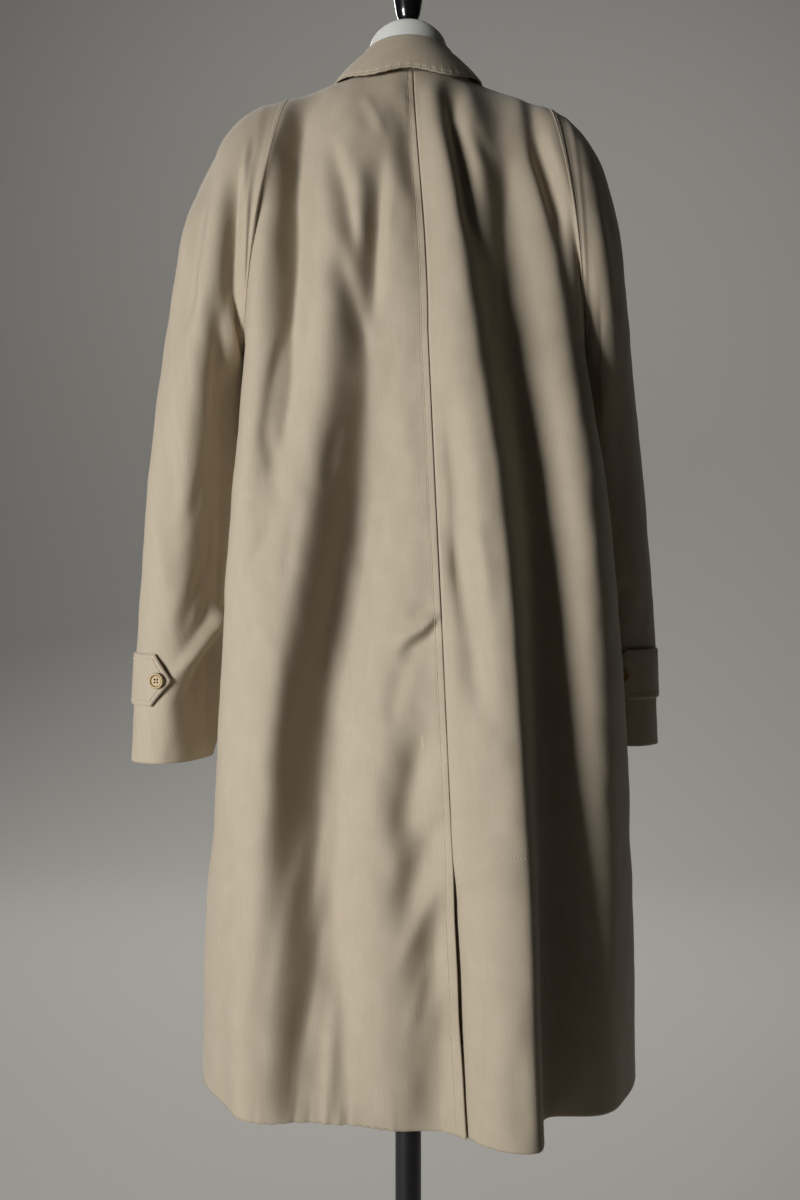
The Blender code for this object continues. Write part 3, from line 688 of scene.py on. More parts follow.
mottle = addNode(tree, "ShaderNodeTexNoise", {"Scale": 1 / weave["mottle"], "Detail": 3.0, "Roughness": 0.6},
                 {"Vector": place}).outputs["Fac"]
twillPlace = addNode(tree, "ShaderNodeMapping", {"Scale": (1.0, 0.5, 1.0)}, {"Vector": place}).outputs[0]
twillScale = 0.628 / weave["twill"]    # a diagonal wave texture repeats every 0.628 of its units
twill = addNode(tree, "ShaderNodeTexWave", {"Scale": twillScale, "Distortion": 0.6, "Detail": 1.0},
                {"Vector": twillPlace}, bands_direction="DIAGONAL").outputs["Fac"]
fuzz = addNode(tree, "ShaderNodeTexNoise", {"Scale": 1 / weave["fuzz"]}, {"Vector": place}).outputs["Fac"]
tone = addNode(tree, "ShaderNodeMix", {6: linear(weave["dark"]), 7: linear(weave["light"])},
               {0: slub}, data_type="RGBA")
wear = addNode(tree, "ShaderNodeMapRange", {"From Min": 0.45, "From Max": 0.75, "To Max": 0.35},
               {"Value": mottle})
faded = addNode(tree, "ShaderNodeMix", {7: linear(weave["worn"])},
                {0: wear.outputs["Result"], 6: tone.outputs[2]}, data_type="RGBA")
tree.links.new(faded.outputs[2], shader.inputs["Base Color"])
threads = addMath(tree, "ADD", addMath(tree, "MULTIPLY", twill, 0.5), slub)
addBump(tree, shader, addMath(tree, "ADD", threads, fuzz), 0.35, 0.00025)

# Polyester thread: a little paler and smoother than the cloth
threadCloth, tree, shader = newMaterial("polyester_thread", Base_Color=linear("#cfc3ad"), Roughness=0.6)
addBump(tree, shader, addNoise(tree, 0.4 * mm), 0.3, 0.0001)

# Horn: pale honey clouds under a polished skin
horn, tree, shader = newMaterial(
    "polished_horn", Roughness=0.42, Subsurface_Weight=0.1, Subsurface_Scale=0.002)
clouds = addNoise(tree, 4.545 * mm, Detail=3.0, Distortion=1.2)
honey = addNode(tree, "ShaderNodeMix", {6: linear("#7c6231"), 7: linear("#b99c60")}, {0: clouds},
                data_type="RGBA")
tree.links.new(honey.outputs[2], shader.inputs["Base Color"])

# Painted glass fibre: smooth white with a slight orange peel
fibreglass, tree, shader = newMaterial("painted_glass_fibre", Base_Color=linear("#d9d9d4"), Roughness=0.42)
addBump(tree, shader, addNoise(tree, 3.125 * mm), 0.12, 0.0003)

# Lacquered wood: black, with sharp highlights under a clear coat
lacquer, tree, shader = newMaterial(
    "black_lacquer", Base_Color=linear("#131314"), Roughness=0.2, Coat_Weight=0.6)
addBump(tree, shader, addNoise(tree, 11.11 * mm), 0.05, 0.0004)

# Powder-coated steel: black, satin, with a fine grain that breaks the reflections
powder, tree, shader = newMaterial("powder_coated_steel", Base_Color=linear("#1a1b1d"))
pits = addNoise(tree, 1.111 * mm)
gloss = addNode(tree, "ShaderNodeMapRange", {"To Min": 0.28, "To Max": 0.48}, {"Value": pits})
tree.links.new(gloss.outputs["Result"], shader.inputs["Roughness"])
addBump(tree, shader, pits, 0.15, 0.0002)
print("made the materials")

# Back panels: dense columns beside the centre seam, where the lap and its stitching lie
topstitch = {"pitch": 0.0033, "stitch": 0.0027, "radius": 0.00042}
back = {
    "nearWidth": 0.015,
    "nearColumns": 22,
    "farColumns": 84,
    "lapColumns": 6,
    "lowRows": 236,
    "highRows": 92,
    "stitchIn": 0.0062,
    "ventStitchIn": 0.0078,
    "armholeStitchIn": 0.0055,
    "groove": 0.00045,
    "grooveWidth": 0.0011,
    "backWidth": 0.27,
    "puckerRise": 0.0019,
    "puckerPitch": 0.0076,
    "puckerFade": 0.016,
    "flat": {"back_left": (0.43, 1.09), "back_right": (0.48, 1.08)},
    "area": {"back_left": 0.327, "back_right": 0.351},
}
heights = np.linspace(coat["hem"], coat["underarm"], back["lowRows"])
climbs = np.linspace(0.0, 1.0, back["highRows"] + 1)[1:]
nearShare = back["nearWidth"] / back["backWidth"]
near = np.linspace(0.0, nearShare, back["nearColumns"])
far = nearShare + (1 - nearShare) * np.linspace(0.0, 1.0, back["farColumns"] + 1)[1:] ** 0.97


# Formula: sines of uneven spacing that die away above the hem
def hemPuckers(x, z, left, right):
    phase = x / back["puckerPitch"] + 0.45 * np.sin(x / 0.011) + 0.3 * np.sin(x / 0.027 + 1.0)
    window = ease((x - left) / 0.02) * ease((right - x) / 0.02)
    fade = np.exp(-np.maximum(z - coat["hem"], 0.0) / back["puckerFade"])
    return back["puckerRise"] * np.sin(2 * math.pi * phase) * window * fade


# Formula: distance of the stitching from the edge, wider where the vent is open
def seamStitchIn(z):
    return back["stitchIn"] + (back["ventStitchIn"] - back["stitchIn"]) * ventOpen(z)


leftBack = bodyPanel(-1, -1, np.concatenate((near, far)), heights, climbs)
x, z = leftBack["points"][..., 0], leftBack["points"][..., 2]
edge = leftBack["fromCentre"]
openHere = ventOpen(z)
stitchIn = seamStitchIn(z)
leftBack["rise"] += hemPuckers(x, z, -0.150, 0.000)
leftBack["rise"] -= back["groove"] * np.exp(-(((edge - stitchIn) / back["grooveWidth"]) ** 2))
leftBack["rise"] -= 0.0004 * ease(1 - edge / 0.0010)
seamPucker = np.sin(2 * math.pi * (z / 0.0115 + 0.35 * np.sin(z / 0.021)))
leftBack["rise"] += 0.00028 * seamPucker * ease(1 - np.abs(edge - stitchIn) / 0.009)
leftBack["rise"] += 0.0022 * openHere * np.exp(-((edge / 0.010) ** 2)) * ease((0.66 - z) / 0.10)
raised(leftBack)

rightShares = np.concatenate((np.linspace(-1.0, 0.0, back["lapColumns"])[:-1], near, far))
rightBack = bodyPanel(1, -1, rightShares, heights, climbs)
x, z = rightBack["points"][..., 0], rightBack["points"][..., 2]
edge = rightBack["fromCentre"]
openHere = ventOpen(z)
step = 0.0018 + (0.0069 - 0.0035 * ease((0.52 - z) / 0.10)) * openHere
rightBack["rise"] -= step * ease(1 - edge / (0.0030 + 0.0070 * openHere))
rightBack["rise"] += 0.0016 * np.exp(-(((edge - 0.008) / 0.006) ** 2)) * ease((0.90 - z) / 0.05)
barStitch = np.exp(-(((z - coat["ventTop"]) / 0.0016) ** 2)) * ease((0.040 - edge) / 0.004)
rightBack["rise"] -= back["groove"] * barStitch
rightBack["rise"] += hemPuckers(x, z, 0.050, 0.110) * 0.35
raised(rightBack)

for node, panel in (("back_left", leftBack), ("back_right", rightBack)):
    addCloth(node, panel["points"], panel["outwards"], coat["wall"])

allRows = leftBack["points"].shape[1]
seamRows = np.arange(2, allRows - 6)
fromEdge = leftBack["fromCentre"] + leftBack["past"] * mm
backLines = [lineOn(leftBack, fromEdge, seamStitchIn(leftBack["points"][0, seamRows, 2]), seamRows)]
# A bar of stitches closes the top of the vent
ventRow = float(np.interp(coat["ventTop"], heights, np.arange(len(heights))))
barColumns = np.linspace(back["lapColumns"] + 3, back["lapColumns"] + 33, 60)
backLines.append(threadLine(rightBack, barColumns, np.full(60, ventRow)))
armholeRows = np.arange(len(heights) + 6, allRows - 3)
for panel in (leftBack, rightBack):
    reach = gridLengths(panel["points"])[..., 0]
    backLines.append(lineOn(panel, reach, reach[-1, armholeRows] - back["armholeStitchIn"], armholeRows))
backStitches = addStitches("stitching_back", backLines)
print("made the back panels")

# Front panels: the left one laps over the right one, and a stitched line shows the fly behind it
front = {
    "lapColumns": 16,
    "farColumns": 66,
    "lowRows": 160,
    "highRows": 64,
    "edgeStitch": 0.0060,
    "flyStitch": 0.058,
    "flat": {"front_left": (0.37, 1.08), "front_right": (0.39, 1.08)},
    "area": {"front_left": 0.316, "front_right": 0.323},
}
frontShares = np.concatenate((np.linspace(-1.0, 0.0, front["lapColumns"] + 1)[:-1],
                              np.linspace(0.0, 1.0, front["farColumns"] + 1)))
frontHeights = np.linspace(coat["hem"], coat["underarm"], front["lowRows"])
frontClimbs = np.linspace(0.0, 1.0, front["highRows"] + 1)[1:]
frontLines = []
for side, name in sides:
    panel = bodyPanel(side, 1, frontShares, frontHeights, frontClimbs)
    if side > 0:
        panel["rise"] -= coat["frontStep"] * ease((0.26 - frontShares)[:, None] / 0.10)
    raised(panel)
    if side < 0:
        reach = gridLengths(panel["points"])[..., 0]
        rows = np.arange(2, panel["points"].shape[1] - 3)
        for stitchIn in (front["edgeStitch"], front["flyStitch"]):
            frontLines.append(lineOn(panel, reach, np.full(len(rows), stitchIn), rows))
    node = "front_" + name
    addCloth(node, panel["points"], panel["outwards"], coat["wall"])
frontStitches = addStitches("stitching_front", frontLines)
print("made the front panels")

# Sleeves: turn 0 is the outer line, 1 the inner line by way of the back, -1 by way of the front
sleeve = {
    "columns": 128,
    "rows": 210,
    "tuckDepth": 0.0004,
    "tuckAcross": 0.0014,
    "tuckRows": 0.012,
    "halfRound": 0.16,
    "unevenRound": 0.17,
    "turnAway": {-1: 0.018, 1: 0.010},
    "tuckWidth": 0.016,
    "flat": {-1: (0.385, 0.73), 1: (0.355, 0.69)},
    "area": {-1: 0.226, 1: 0.198},
}
# Creases by millimetres round from the outer line, and height
sleeveCreases = {
    -1: table(creaseColumns, (
        (-40, 1330, -88, 1180, 6, 12, 14, -4),  # soft drags below the shoulder
        (-48, 1060, -120, 1000, 4, 11, 13, -5),  # front of the elbow
        (-48, 1015, -120, 965, 4, 11, 13, 4),
        (-64, 960, -128, 920, 4, 10, 12, -4),
    ), mm),
    1: table(creaseColumns, (
        (96, 838, 152, 900, 4, 8, 6, 5),
        (96, 828, 147.2, 876, 4, 6, 12, -5),
        (-40, 1320, -88, 1170, 6, 12, 14, -4),
        (-48, 1060, -120, 1000, 4, 11, 13, -5),
        (-56, 990, -128, 940, 4, 11, 13, 4),
    ), mm),
}
# Creases on the back of the sleeve, by place across and height: the flap that overhangs it, drags, cuff folds
sleeveBackCreases = {
    -1: table(creaseColumns, (
        (-158, 1380, -160, 1180, 1, 4, 9, 3),
        (-167, 1345, -169, 1165, 1, 12, 4, -12),
        (-166, 1235, -162, 1050, 1, 24, 4, -13),
        (-150, 1380, -158, 1290, 1, 4, 5, -1.8),
        (-152, 1350, -160, 1230, 1, 4, 4, 1.4),
        (-196, 1400, -238, 1130, 2, 9, 15, -14),
        (-205, 1340, -236, 1200, 3, 9, 12, 2.6),
        (-197, 1055, -216, 985, 2, 6, 8, -2.4),
        (-250, 1120, -236, 980, 3, 9, 10, -2.2),
        (-262, 1010, -240, 900, 3, 8, 9, 2.2),
        (-246, 818, -140, 937, 1, 8, 12, 16),
        (-240, 796, -140, 898, 1, 5, 15, -7),
        (-232, 862, -196, 955, 3, 9, 8, -3.4),
    ), mm),
    1: table(creaseColumns, (
        (186, 1360, 216, 1180, 4, 10, 12, -4),
        (196, 1120, 226, 1000, 3, 9, 9, -3),
        (214, 1010, 246, 900, 3, 8, 9, 2.4),
        (230, 940, 210, 860, 3, 8, 9, -2.6),
    ), mm),
}


# Formula: the half loop of the back for turns from 0 on, of the front below 0
def sleevePoint(side, turn, row):
    turn, row = np.broadcast_arrays(turn, row)
    face = np.where(turn >= 0, -1.0, 1.0)
    return halfLoop(sleeveTables[side], row, np.abs(turn), face)


# Formula: loops from the armhole to the cuff, tucked under the body at the armhole, creased on the normal
def sleeveGrid(side):
    turns = np.linspace(-1.0, 1.0, sleeve["columns"] + 1)
    turns = turns * (1.3 - 0.3 * turns ** 2)
    rows = np.linspace(0.0, 1.0, sleeve["rows"]) ** 1.05
    points = sleevePoint(side, turns[:, None], rows[None, :])
    tuckAcross = side * sleeve["tuckAcross"] * ease(1 - rows / sleeve["tuckRows"])
    points[..., 0] -= tuckAcross
    normal = gridNormals(points, side)
    x, z = points[..., 0], points[..., 2]
    turn = turns[:, None] + 0.0 * x
    rise = creaseRise(sleeveCreases[side], turn * sleeve["halfRound"], z)
    fromArmhole = ease((rows - 0.012) / 0.05)[None, :]
    onBack = ease(turn / 0.06) * ease((1 - turn) / 0.12)
    rise += creaseRise(sleeveBackCreases[side], x, z) * onBack * fromArmhole
    # The inner back of the sleeve turns away sharply behind the body
    away = ease((turn - 0.46) / 0.34) * ease((1.0 - turn) / 0.10)
    along = ease((rows - 0.12) / 0.24) * (1 - 0.92 * ease((rows - 0.86) / 0.14))
    rise -= sleeve["turnAway"][side] * away * along[None, :]
    points[..., 1] -= bellRise(shoulderFolds, x + tuckAcross, z) * ease(turn / 0.10)
    uneven = unevenness(turn * sleeve["unevenRound"], z, 31 + side)
    rise += uneven * fromArmhole * np.cos(turn * math.pi / 2)
    rise -= sleeve["tuckDepth"] * ease(1 - rows / sleeve["tuckWidth"])
    rise += 0.0010 * np.exp(-(((rows - 0.05) / 0.02) ** 2))
    return points + normal * rise[..., None]


for side, name in sides:
    addCloth("sleeve_" + name, sleeveGrid(side), side, coat["wall"])
print("made the sleeves")

# Collar: neckline, fold and fall edge round the neck, from the centre back to the centre front
collar = {
    "columns": 190,
    "sectionRows": 44,
    "roll": 0.0030,
    "bow": 0.0060,
    "tuck": 0.008,
    "wall": 0.0018,
    "stitchIn": 0.0040,
    "flat": (0.53, 0.13),
    "area": 0.0381,
}
collarHalf = table("turn seamX seamY seamZ foldX foldY foldZ edgeX edgeY edgeZ", (
    (0, 0.0000, -0.0604, 1.4384, 0.0000, -0.0550, 1.4750, 0.0000, -0.0735, 1.4350),
    (30, 0.0302, -0.0526, 1.4403, 0.0235, -0.0475, 1.4745, 0.0385, -0.0682, 1.4302),
    (60, 0.0523, -0.0312, 1.4449, 0.0405, -0.0280, 1.4725, 0.0665, -0.0388, 1.4387),
    (90, 0.0604, -0.0020, 1.4490, 0.0470, 0.0000, 1.4680, 0.0785, 0.0050, 1.4435),
    (120, 0.0523, 0.0362, 1.4280, 0.0420, 0.0340, 1.4560, 0.0785, 0.0490, 1.4195),
    (150, 0.0302, 0.0641, 1.4037, 0.0260, 0.0605, 1.4380, 0.0730, 0.0840, 1.3825),
    (172, 0.0084, 0.0736, 1.3945, 0.0090, 0.0720, 1.4220, 0.0690, 0.1015, 1.3560),
))
collarSections = {}
for name, values in collarHalf.items():
    mirrored = -values[:0:-1] if name == "turn" or name.endswith("X") else values[:0:-1]
    collarSections[name] = np.concatenate((mirrored, values))


# Formula: up the stand, over the roll and down the bowed fall, by cubic pieces, carried round the neck
def collarGrid():
    last = collarSections["turn"][-1]
    turns = np.linspace(-last, last, collar["columns"] + 1)
    at = {name: through(collarSections, name, turns, "turn") for name in collarSections if name != "turn"}
    lines = {line: np.stack((at[line + "X"], at[line + "Y"], at[line + "Z"]), axis=-1)
             for line in ("seam", "fold", "edge")}
    outward = (lines["edge"] - lines["fold"]) * (1.0, 1.0, 0.0)
    outward /= np.linalg.norm(outward, axis=1, keepdims=True)
    roll = outward * collar["roll"]
    up = np.array((0.0, 0.0, collar["roll"]))
    innerTop, outerTop = lines["fold"] - roll - up, lines["fold"] + roll - up
    # The stand starts inside the neckline, where the panels hide its raw edge
    stops = [lines["seam"] - 0.0018 * outward - np.array((0.0, 0.0, collar["tuck"]))]
    stops += [lines["seam"] + (innerTop - lines["seam"]) * t for t in (0.0, 0.5, 1.0)]
    stops += [lines["fold"] + across * 0.6 * roll - abs(across) * 0.25 * up for across in (-1, 0, 1)]
    fall = lines["edge"] - outerTop
    fuller = (0.25 + 0.75 * ease((np.abs(turns) - 60) / 50))[:, None]    # fuller towards the front points
    bow = collar["bow"] * (0.6 * outward + np.array((0.0, 0.0, 0.8))) * fuller
    stops += [outerTop + fall * t + bow * math.sin(math.pi * t) for t in (0.0, 0.33, 0.67, 1.0)]
    stops = np.stack(stops, axis=1)
    place = np.concatenate(((0.0,), np.cumsum(np.linalg.norm(np.diff(stops, axis=1), axis=2).mean(0))))
    fine = np.sort(np.concatenate((np.linspace(0.0, place[-1], collar["sectionRows"]),
                                   place[-1] - np.array((0.0015, 0.003, 0.0035, 0.0045, 0.005, 0.0065)))))
    slopes = np.gradient(stops, place, axis=1)
    index = np.clip(np.searchsorted(place, fine) - 1, 0, len(place) - 2)
    span = (place[index + 1] - place[index])[None, :, None]
    t = ((fine - place[index]) / (place[index + 1] - place[index]))[None, :, None]
    leave, arrive = slopes[:, index] * span, slopes[:, index + 1] * span
    points = hermite(stops[:, index], stops[:, index + 1], leave, arrive, t)
    fromEdge = (place[-1] - fine)[None, :]
    reach = np.cumsum(np.linalg.norm(np.gradient(points[:, -1], axis=0), axis=1))[:, None]
    pucker = np.sin(2 * math.pi * (reach / 0.010 + 0.3 * np.sin(reach / 0.023)))
    rise = 0.00035 * pucker * np.exp(-((fromEdge / 0.008) ** 2))
    rise = rise - 0.00045 * np.exp(-(((fromEdge - collar["stitchIn"]) / 0.0011) ** 2))
    normal = gridNormals(points, -1.0)
    points = points + normal * rise[..., None]
    return points, gridNormals(points, -1.0), fromEdge[0]


collarPoints, collarNormals, fromEdge = collarGrid()
collarObject = addCloth("collar", collarPoints, -1.0, collar["wall"])
alongCollar = np.linspace(2.0, collar["columns"] - 2.0, 700)
stitchRow = np.interp(-collar["stitchIn"], -fromEdge, np.arange(len(fromEdge)))
collarPanel = {"points": collarPoints, "normals": collarNormals}
collarLine = threadLine(collarPanel, alongCollar, np.full(700, stitchRow))
collarStitches = addStitches("stitching_collar", [collarLine])
print("made the collar")

# Cuff tabs: a strap round the back of the cuff with a point, stitched inside its edge, and its button
tab = {
    "halfWidth": 0.0265,
    "wall": 0.0016,
    "thickness": 0.0022,
    "lift": 0.0009,
    "root": -0.06,
    "tip": 0.50,
    "shoulder": 0.375,
    "height": {-1: 0.829, 1: 0.832},
    "shift": {-1: 0.0, 1: 0.10},
    "tipLift": 0.0045,
    "stitchIn": 0.0055,
    "strapColumns": 43,
    "tipColumns": 28,
    "rows": 40,
    "round": 0.17,
    "buttonPlace": 0.42,
    "buttonGap": 0.0012,
    "holeBack": 0.055,
    "holeHalf": (0.028, 0.0012),
    "flat": {-1: (0.054, 0.124), 1: (0.054, 0.111)},
    "area": {-1: 0.0058, 1: 0.0050},
}


# Formula: sleeve points at a turn and height, found by the row where the sleeve has that height, moved out
def tabPoints(side, turn, height, out):
    rows = np.linspace(0.55, 1.0, 240)
    columns = np.unique(turn)
    fallen = sleevePoint(side, columns[:, None], rows[None, :])[..., 2]
    which = np.searchsorted(columns, turn)
    row = np.empty_like(turn)
    for k in range(len(columns)):
        here = which == k
        row[here] = np.interp(-height[here], -fallen[k], rows)
    step = 1e-3
    point = sleevePoint(side, turn, row)
    across = sleevePoint(side, turn + step, row) - sleevePoint(side, turn - step, row)
    down = sleevePoint(side, turn, row + step) - sleevePoint(side, turn, row - step)
    normal = np.cross(across, down) * side
    normal /= np.linalg.norm(normal, axis=-1, keepdims=True)
    return point + normal * np.asarray(out)[..., None], normal


# Formula: half width along the tab, narrowing straight to the point
def tabWidth(along):
    narrow = np.clip((along - tab["shoulder"]) / (tab["tip"] - tab["shoulder"]), 0.0, 1.0)
    return tab["halfWidth"] * (1 - 0.94 * narrow)


# Formula: the tab's free end eases off the sleeve towards its point
def tabLift(along):
    return tab["lift"] + tab["thickness"] + tab["tipLift"] * ease((along - 0.26) / 0.24)


button = {
    "radius": 0.0082,
    "thickness": 0.0034,
    "hole": 0.0011,
    "holeOut": 0.0021,
    "holeDeep": 0.0017,
    "steps": 96,
}


# Formula: dished disc with a raised rim, its face pressed in at four holes
def buttonGrid():
    radius, thick = button["radius"], button["thickness"]
    r = np.concatenate((np.linspace(0.0, 0.80, 24), np.linspace(0.82, 1.0, 10))) * radius
    share = r / radius
    face = thick * (0.66 + 0.34 * ease((share - 0.60) / 0.18) - 0.50 * ease((share - 0.90) / 0.10) ** 2)
    angle = np.linspace(0.0, 2 * math.pi, button["steps"] + 1)
    x, y = np.cos(angle)[:, None] * r, np.sin(angle)[:, None] * r
    z = np.broadcast_to(face, x.shape).copy()
    for k in range(4):
        holeX = button["holeOut"] * math.cos(math.pi / 4 + k * math.pi / 2)
        holeY = button["holeOut"] * math.sin(math.pi / 4 + k * math.pi / 2)
        z -= button["holeDeep"] * ease((button["hole"] - np.hypot(x - holeX, y - holeY)) / 0.0005)
    under = np.stack((np.cos(angle) * radius * 0.8, np.sin(angle) * radius * 0.8, 0.0 * angle), axis=-1)
    centre = np.zeros_like(under)
    return np.concatenate((np.stack((x, y, z), axis=-1), under[:, None], centre[:, None]), axis=1)


tabObjects, tabStitches = {}, {}
for side, name in sides:
    strap = np.linspace(tab["root"], tab["shoulder"], tab["strapColumns"])
    tipPart = np.linspace(tab["shoulder"], tab["tip"], tab["tipColumns"] + 1)[1:]
    along = np.concatenate((strap, tipPart))
    width = np.sin(np.linspace(-1.0, 1.0, tab["rows"] + 1) * math.pi / 2)
    half = tabWidth(along)[:, None]
    shift, middleHeight = tab["shift"][side], tab["height"][side]
    turn = np.broadcast_to(shift + along[:, None], (len(along), len(width))).copy()
    inset = np.minimum(half * (1 - np.abs(width)), (tab["tip"] - along)[:, None] * tab["round"])
    out = tabLift(along)[:, None] - 0.0011 * ease(1 - inset / 0.0016)
    out = out - 0.0005 * np.exp(-(((inset - tab["stitchIn"]) / back["grooveWidth"]) ** 2))
    points, _ = tabPoints(side, turn, middleHeight + half * width, out)
    tabObjects[side] = addCloth("cuff_tab_" + name, points, -side, tab["wall"])
    # Stitching runs along both edges and round the point
    lineAlong = np.linspace(tab["root"] + 0.01, tab["tip"] - 0.036, 160)
    slantIn = tab["stitchIn"] * np.where(lineAlong > tab["shoulder"], 1.35, 1.0)
    lineHalf = np.minimum(tabWidth(lineAlong) - slantIn, tab["halfWidth"] - tab["stitchIn"])
    lineHalf = np.maximum(lineHalf, 0.0)
    lines = [tabPoints(side, shift + lineAlong, middleHeight + edgeSide * lineHalf, tabLift(lineAlong))
             for edgeSide in (-1, 1)]
    # Worked buttonhole beside the button: a narrow loop of thread
    loop = np.linspace(0.0, 2 * math.pi, 80)
    loopAlong = tab["buttonPlace"] - tab["holeBack"] + tab["holeHalf"][0] * np.cos(loop)
    loopHeight = middleHeight + 0.0030 + tab["holeHalf"][1] * np.sin(loop)
    lines.append(tabPoints(side, shift + loopAlong, loopHeight, tabLift(loopAlong)))
    tabStitches[side] = addStitches("stitching_tab_" + name, lines)
    # The button stands on the tab, square to it
    place = np.array([shift + tab["buttonPlace"]])
    lift = np.array([tabLift(tab["buttonPlace"]) + tab["buttonGap"]])
    middle, normal = tabPoints(side, place, np.array([middleHeight]), lift)
    turnTo = np.array(Vector(normal[0]).to_track_quat("Z", "Y").to_matrix())
    points = buttonGrid()[::-1] @ turnTo.T + middle[0]
    addTurned("cuff_button_" + name, "horn", points, horn)
print("made the tabs and buttons")

# Dress form: sections stacked in height, smoothed between the rows, the neck slanting down to the front
formSections = table("height half back front square slant", (
    (0.840, 0.118, 0.080, 0.080, 2.2, 0.0),
    (0.880, 0.126, 0.086, 0.086, 2.2, 0.0),
    (0.960, 0.122, 0.082, 0.086, 2.2, 0.0),
    (1.040, 0.114, 0.078, 0.086, 2.2, 0.0),
    (1.140, 0.128, 0.086, 0.098, 2.2, 0.0),
    (1.240, 0.142, 0.092, 0.098, 2.2, 0.0),
    (1.310, 0.150, 0.084, 0.086, 2.2, 0.0),
    (1.360, 0.150, 0.066, 0.070, 2.2, 0.0),
    (1.390, 0.142, 0.052, 0.056, 2.1, 0.0),
    (1.408, 0.118, 0.046, 0.050, 2.0, 0.0),
    (1.420, 0.088, 0.044, 0.047, 2.0, 0.0),
    (1.430, 0.062, 0.043, 0.044, 2.0, 0.1),
    (1.440, 0.0475, 0.042, 0.042, 2.0, 0.2),
    (1.460, 0.0425, 0.041, 0.041, 2.0, 0.35),
    (1.478, 0.0410, 0.040, 0.040, 2.0, 0.45),
))
form = {"rows": 150, "columns": 112, "domeRise": 0.011, "bottomRound": 0.006}


# Formula: squared-off ellipses through the table, closed by a rounded rim below and a low dome above
def formGrid():
    angle = np.linspace(0.0, 2 * math.pi, form["columns"] + 1)
    bottom, top = formSections["height"][0], formSections["height"][-1]
    heights = np.linspace(bottom, top, form["rows"])
    part = {name: through(formSections, name, heights)[None, :] for name in formSections if name != "height"}
    bend = 2 / part["square"]
    deep = np.where(np.cos(angle)[:, None] > 0, part["back"], part["front"])
    x = part["half"] * power(np.sin(angle)[:, None], bend)
    y = -deep * power(np.cos(angle)[:, None], bend)
    wall = np.stack((x, y, heights[None, :] - part["slant"] * y), axis=-1)
    low = wall[:, :1] * np.array((1.0, 1.0, 0.0)) * np.linspace(0.0, 0.985, 5)[None, :, None]
    low[..., 2] = bottom
    shrink = np.cos(np.linspace(0.0, 1.0, 12)[1:] * math.pi / 2)
    slope = formSections["slant"][-1]
    domeX, domeY = x[:, -1:] * shrink, y[:, -1:] * shrink
    domeZ = top + form["domeRise"] * np.sqrt(1 - shrink ** 2)[None, :] - slope * domeY
    return np.concatenate((low, wall, np.stack((domeX, domeY, domeZ), axis=-1)), axis=1)


addTurned("form_body", "shell", formGrid(), fibreglass)

# Knob: a straight foot, then cubic pieces through the rows
knob = table("radius height", (
    (0.0, 0.0), (0.0145, 0.0), (0.0145, 0.004), (0.0105, 0.008), (0.0105, 0.018), (0.0128, 0.026),
    (0.0160, 0.046), (0.0168, 0.054), (0.0150, 0.064), (0.0090, 0.072), (0.0, 0.074),
))
knobGap = 0.0004
footRows = 2.0
neckSlant = formSections["slant"][-1]
knobBase = formSections["height"][-1] + form["domeRise"] + neckSlant * knob["radius"][1] + knobGap
knob["row"] = np.arange(len(knob["radius"]), dtype=float)
knobFine = np.concatenate((np.linspace(0.0, footRows, 8), np.linspace(footRows, knob["row"][-1], 70)[1:]))
knobPoints = []
for name in ("radius", "height"):
    foot = np.interp(knobFine, knob["row"], knob[name])
    knobPoints.append(np.where(knobFine > footRows, through(knob, name, knobFine, "row"), foot))
knobPoints = np.stack((np.maximum(knobPoints[0], 0.0), knobPoints[1] + knobBase), axis=1)
addTurned("form_knob", "lacquer", turnedGrid(knobPoints, 96), lacquer)

# Pole and base, as profiles of radius and height
poleProfile = ((0.0, 0.0343), (0.0135, 0.0343), (0.0135, 0.45), (0.0135, 0.8397), (0.0, 0.8397))
addTurned("stand_pole", "steel", turnedGrid(poleProfile, 64), powder)
baseProfile = (
    (0.0, 0.0), (0.1885, 0.0), (0.1897, 0.0006), (0.190, 0.0018), (0.190, 0.007), (0.1894, 0.0090),
    (0.1878, 0.0108), (0.186, 0.0118), (0.180, 0.0121), (0.110, 0.0131), (0.046, 0.0140),
    (0.0390, 0.0146), (0.0340, 0.0166), (0.0300, 0.0205), (0.0272, 0.0255), (0.0252, 0.0305),
    (0.0240, 0.0328), (0.0228, 0.0338), (0.0210, 0.0340), (0.0, 0.0340),
)
addTurned("stand_base", "steel", turnedGrid(baseProfile, 160), powder)
print("made the form and stand")

# Studio: a pale floor that curves up into a far wall, and soft area lights
sweep = {"halfWidth": 9.0, "near": -9.0, "wall": 4.6, "bend": 1.8, "high": 6.0}


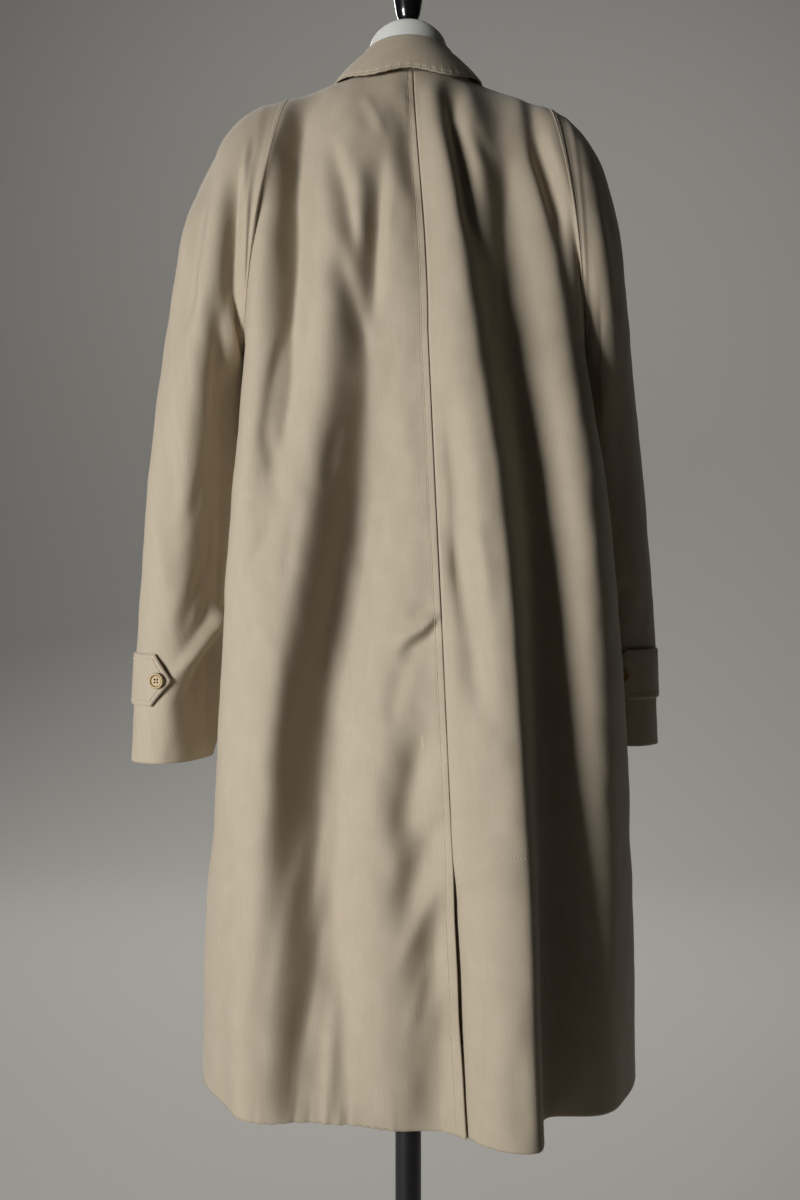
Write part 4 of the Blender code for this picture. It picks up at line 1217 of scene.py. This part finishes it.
# Formula: a straight floor, a quarter circle and a straight wall, carried sideways
def sweepGrid():
    arc = np.linspace(0.0, math.pi / 2, 32)
    bend = sweep["wall"] - sweep["bend"] + sweep["bend"] * np.sin(arc)
    y = np.concatenate(((sweep["near"],), bend, (sweep["wall"],)))
    z = np.concatenate(((0.0,), sweep["bend"] * (1 - np.cos(arc)), (sweep["high"],)))
    x = np.array((-sweep["halfWidth"], sweep["halfWidth"]))[:, None]
    return np.stack(np.broadcast_arrays(x, y[None, :], z[None, :]), axis=-1)


paper, tree, shader = newMaterial("paper_backdrop", Base_Color=linear("#d6d3cd"), Roughness=0.9)
floorPoints = sweepGrid()
floor = addMesh("studio_floor", floorPoints, gridFaces(*floorPoints.shape[:2], 1.0), paper)


def addLight(name, place, aim, size, watts, spread=180.0):
    light = bpy.data.lights.new(name, "AREA")
    light.shape = "RECTANGLE"
    light.size, light.size_y = size
    light.energy = watts
    light.spread = math.radians(spread)
    item = bpy.data.objects.new(name, light)
    item.location = place
    item.rotation_mode = "QUATERNION"
    item.rotation_quaternion = (Vector(aim) - Vector(place)).to_track_quat("-Z", "Y")
    item.visible_camera = False
    collection.objects.link(item)
    return item


# Place, aim, size, power, spread: a narrowed key from the left, a light for the front, one for the wall
lights = {
    "key": ((-2.3, -2.05, 1.00), (0.0, 0.0, 0.90), (1.0, 1.2), 13.5, 64.0),
    "front": ((-0.9, 2.7, 3.0), (0.0, 0.0, 0.9), (1.8, 1.4), 36.0),
    "backdrop": ((0.3, 1.2, 3.6), (0.0, 4.4, 1.2), (3.0, 0.8), 42.0),
}
for name, settings in lights.items():
    addLight(name, *settings)
world = bpy.data.worlds.new("studio")
world.use_nodes = True
sky = world.node_tree.nodes["Background"].inputs
sky["Color"].default_value = (1.0, 0.99, 0.97, 1.0)
sky["Strength"].default_value = 0.012    # a trace of light, so that shadows are not quite black
bpy.context.scene.world = world
bpy.context.scene.view_settings.view_transform = "Standard"

# Camera: level, behind the coat, as far back as makes hem and cuffs level as in the photo
view = {"lens": 38.0, "sensor": 36.0, "place": (-0.0086, -1.32, 0.91)}
lens = bpy.data.cameras.new("camera")
lens.lens = view["lens"]
lens.sensor_width = view["sensor"]
lens.dof.use_dof = False
camera = bpy.data.objects.new("camera", lens)
camera.location = view["place"]
camera.rotation_euler = (math.pi / 2, 0.0, 0.0)
collection.objects.link(camera)
bpy.context.scene.camera = camera
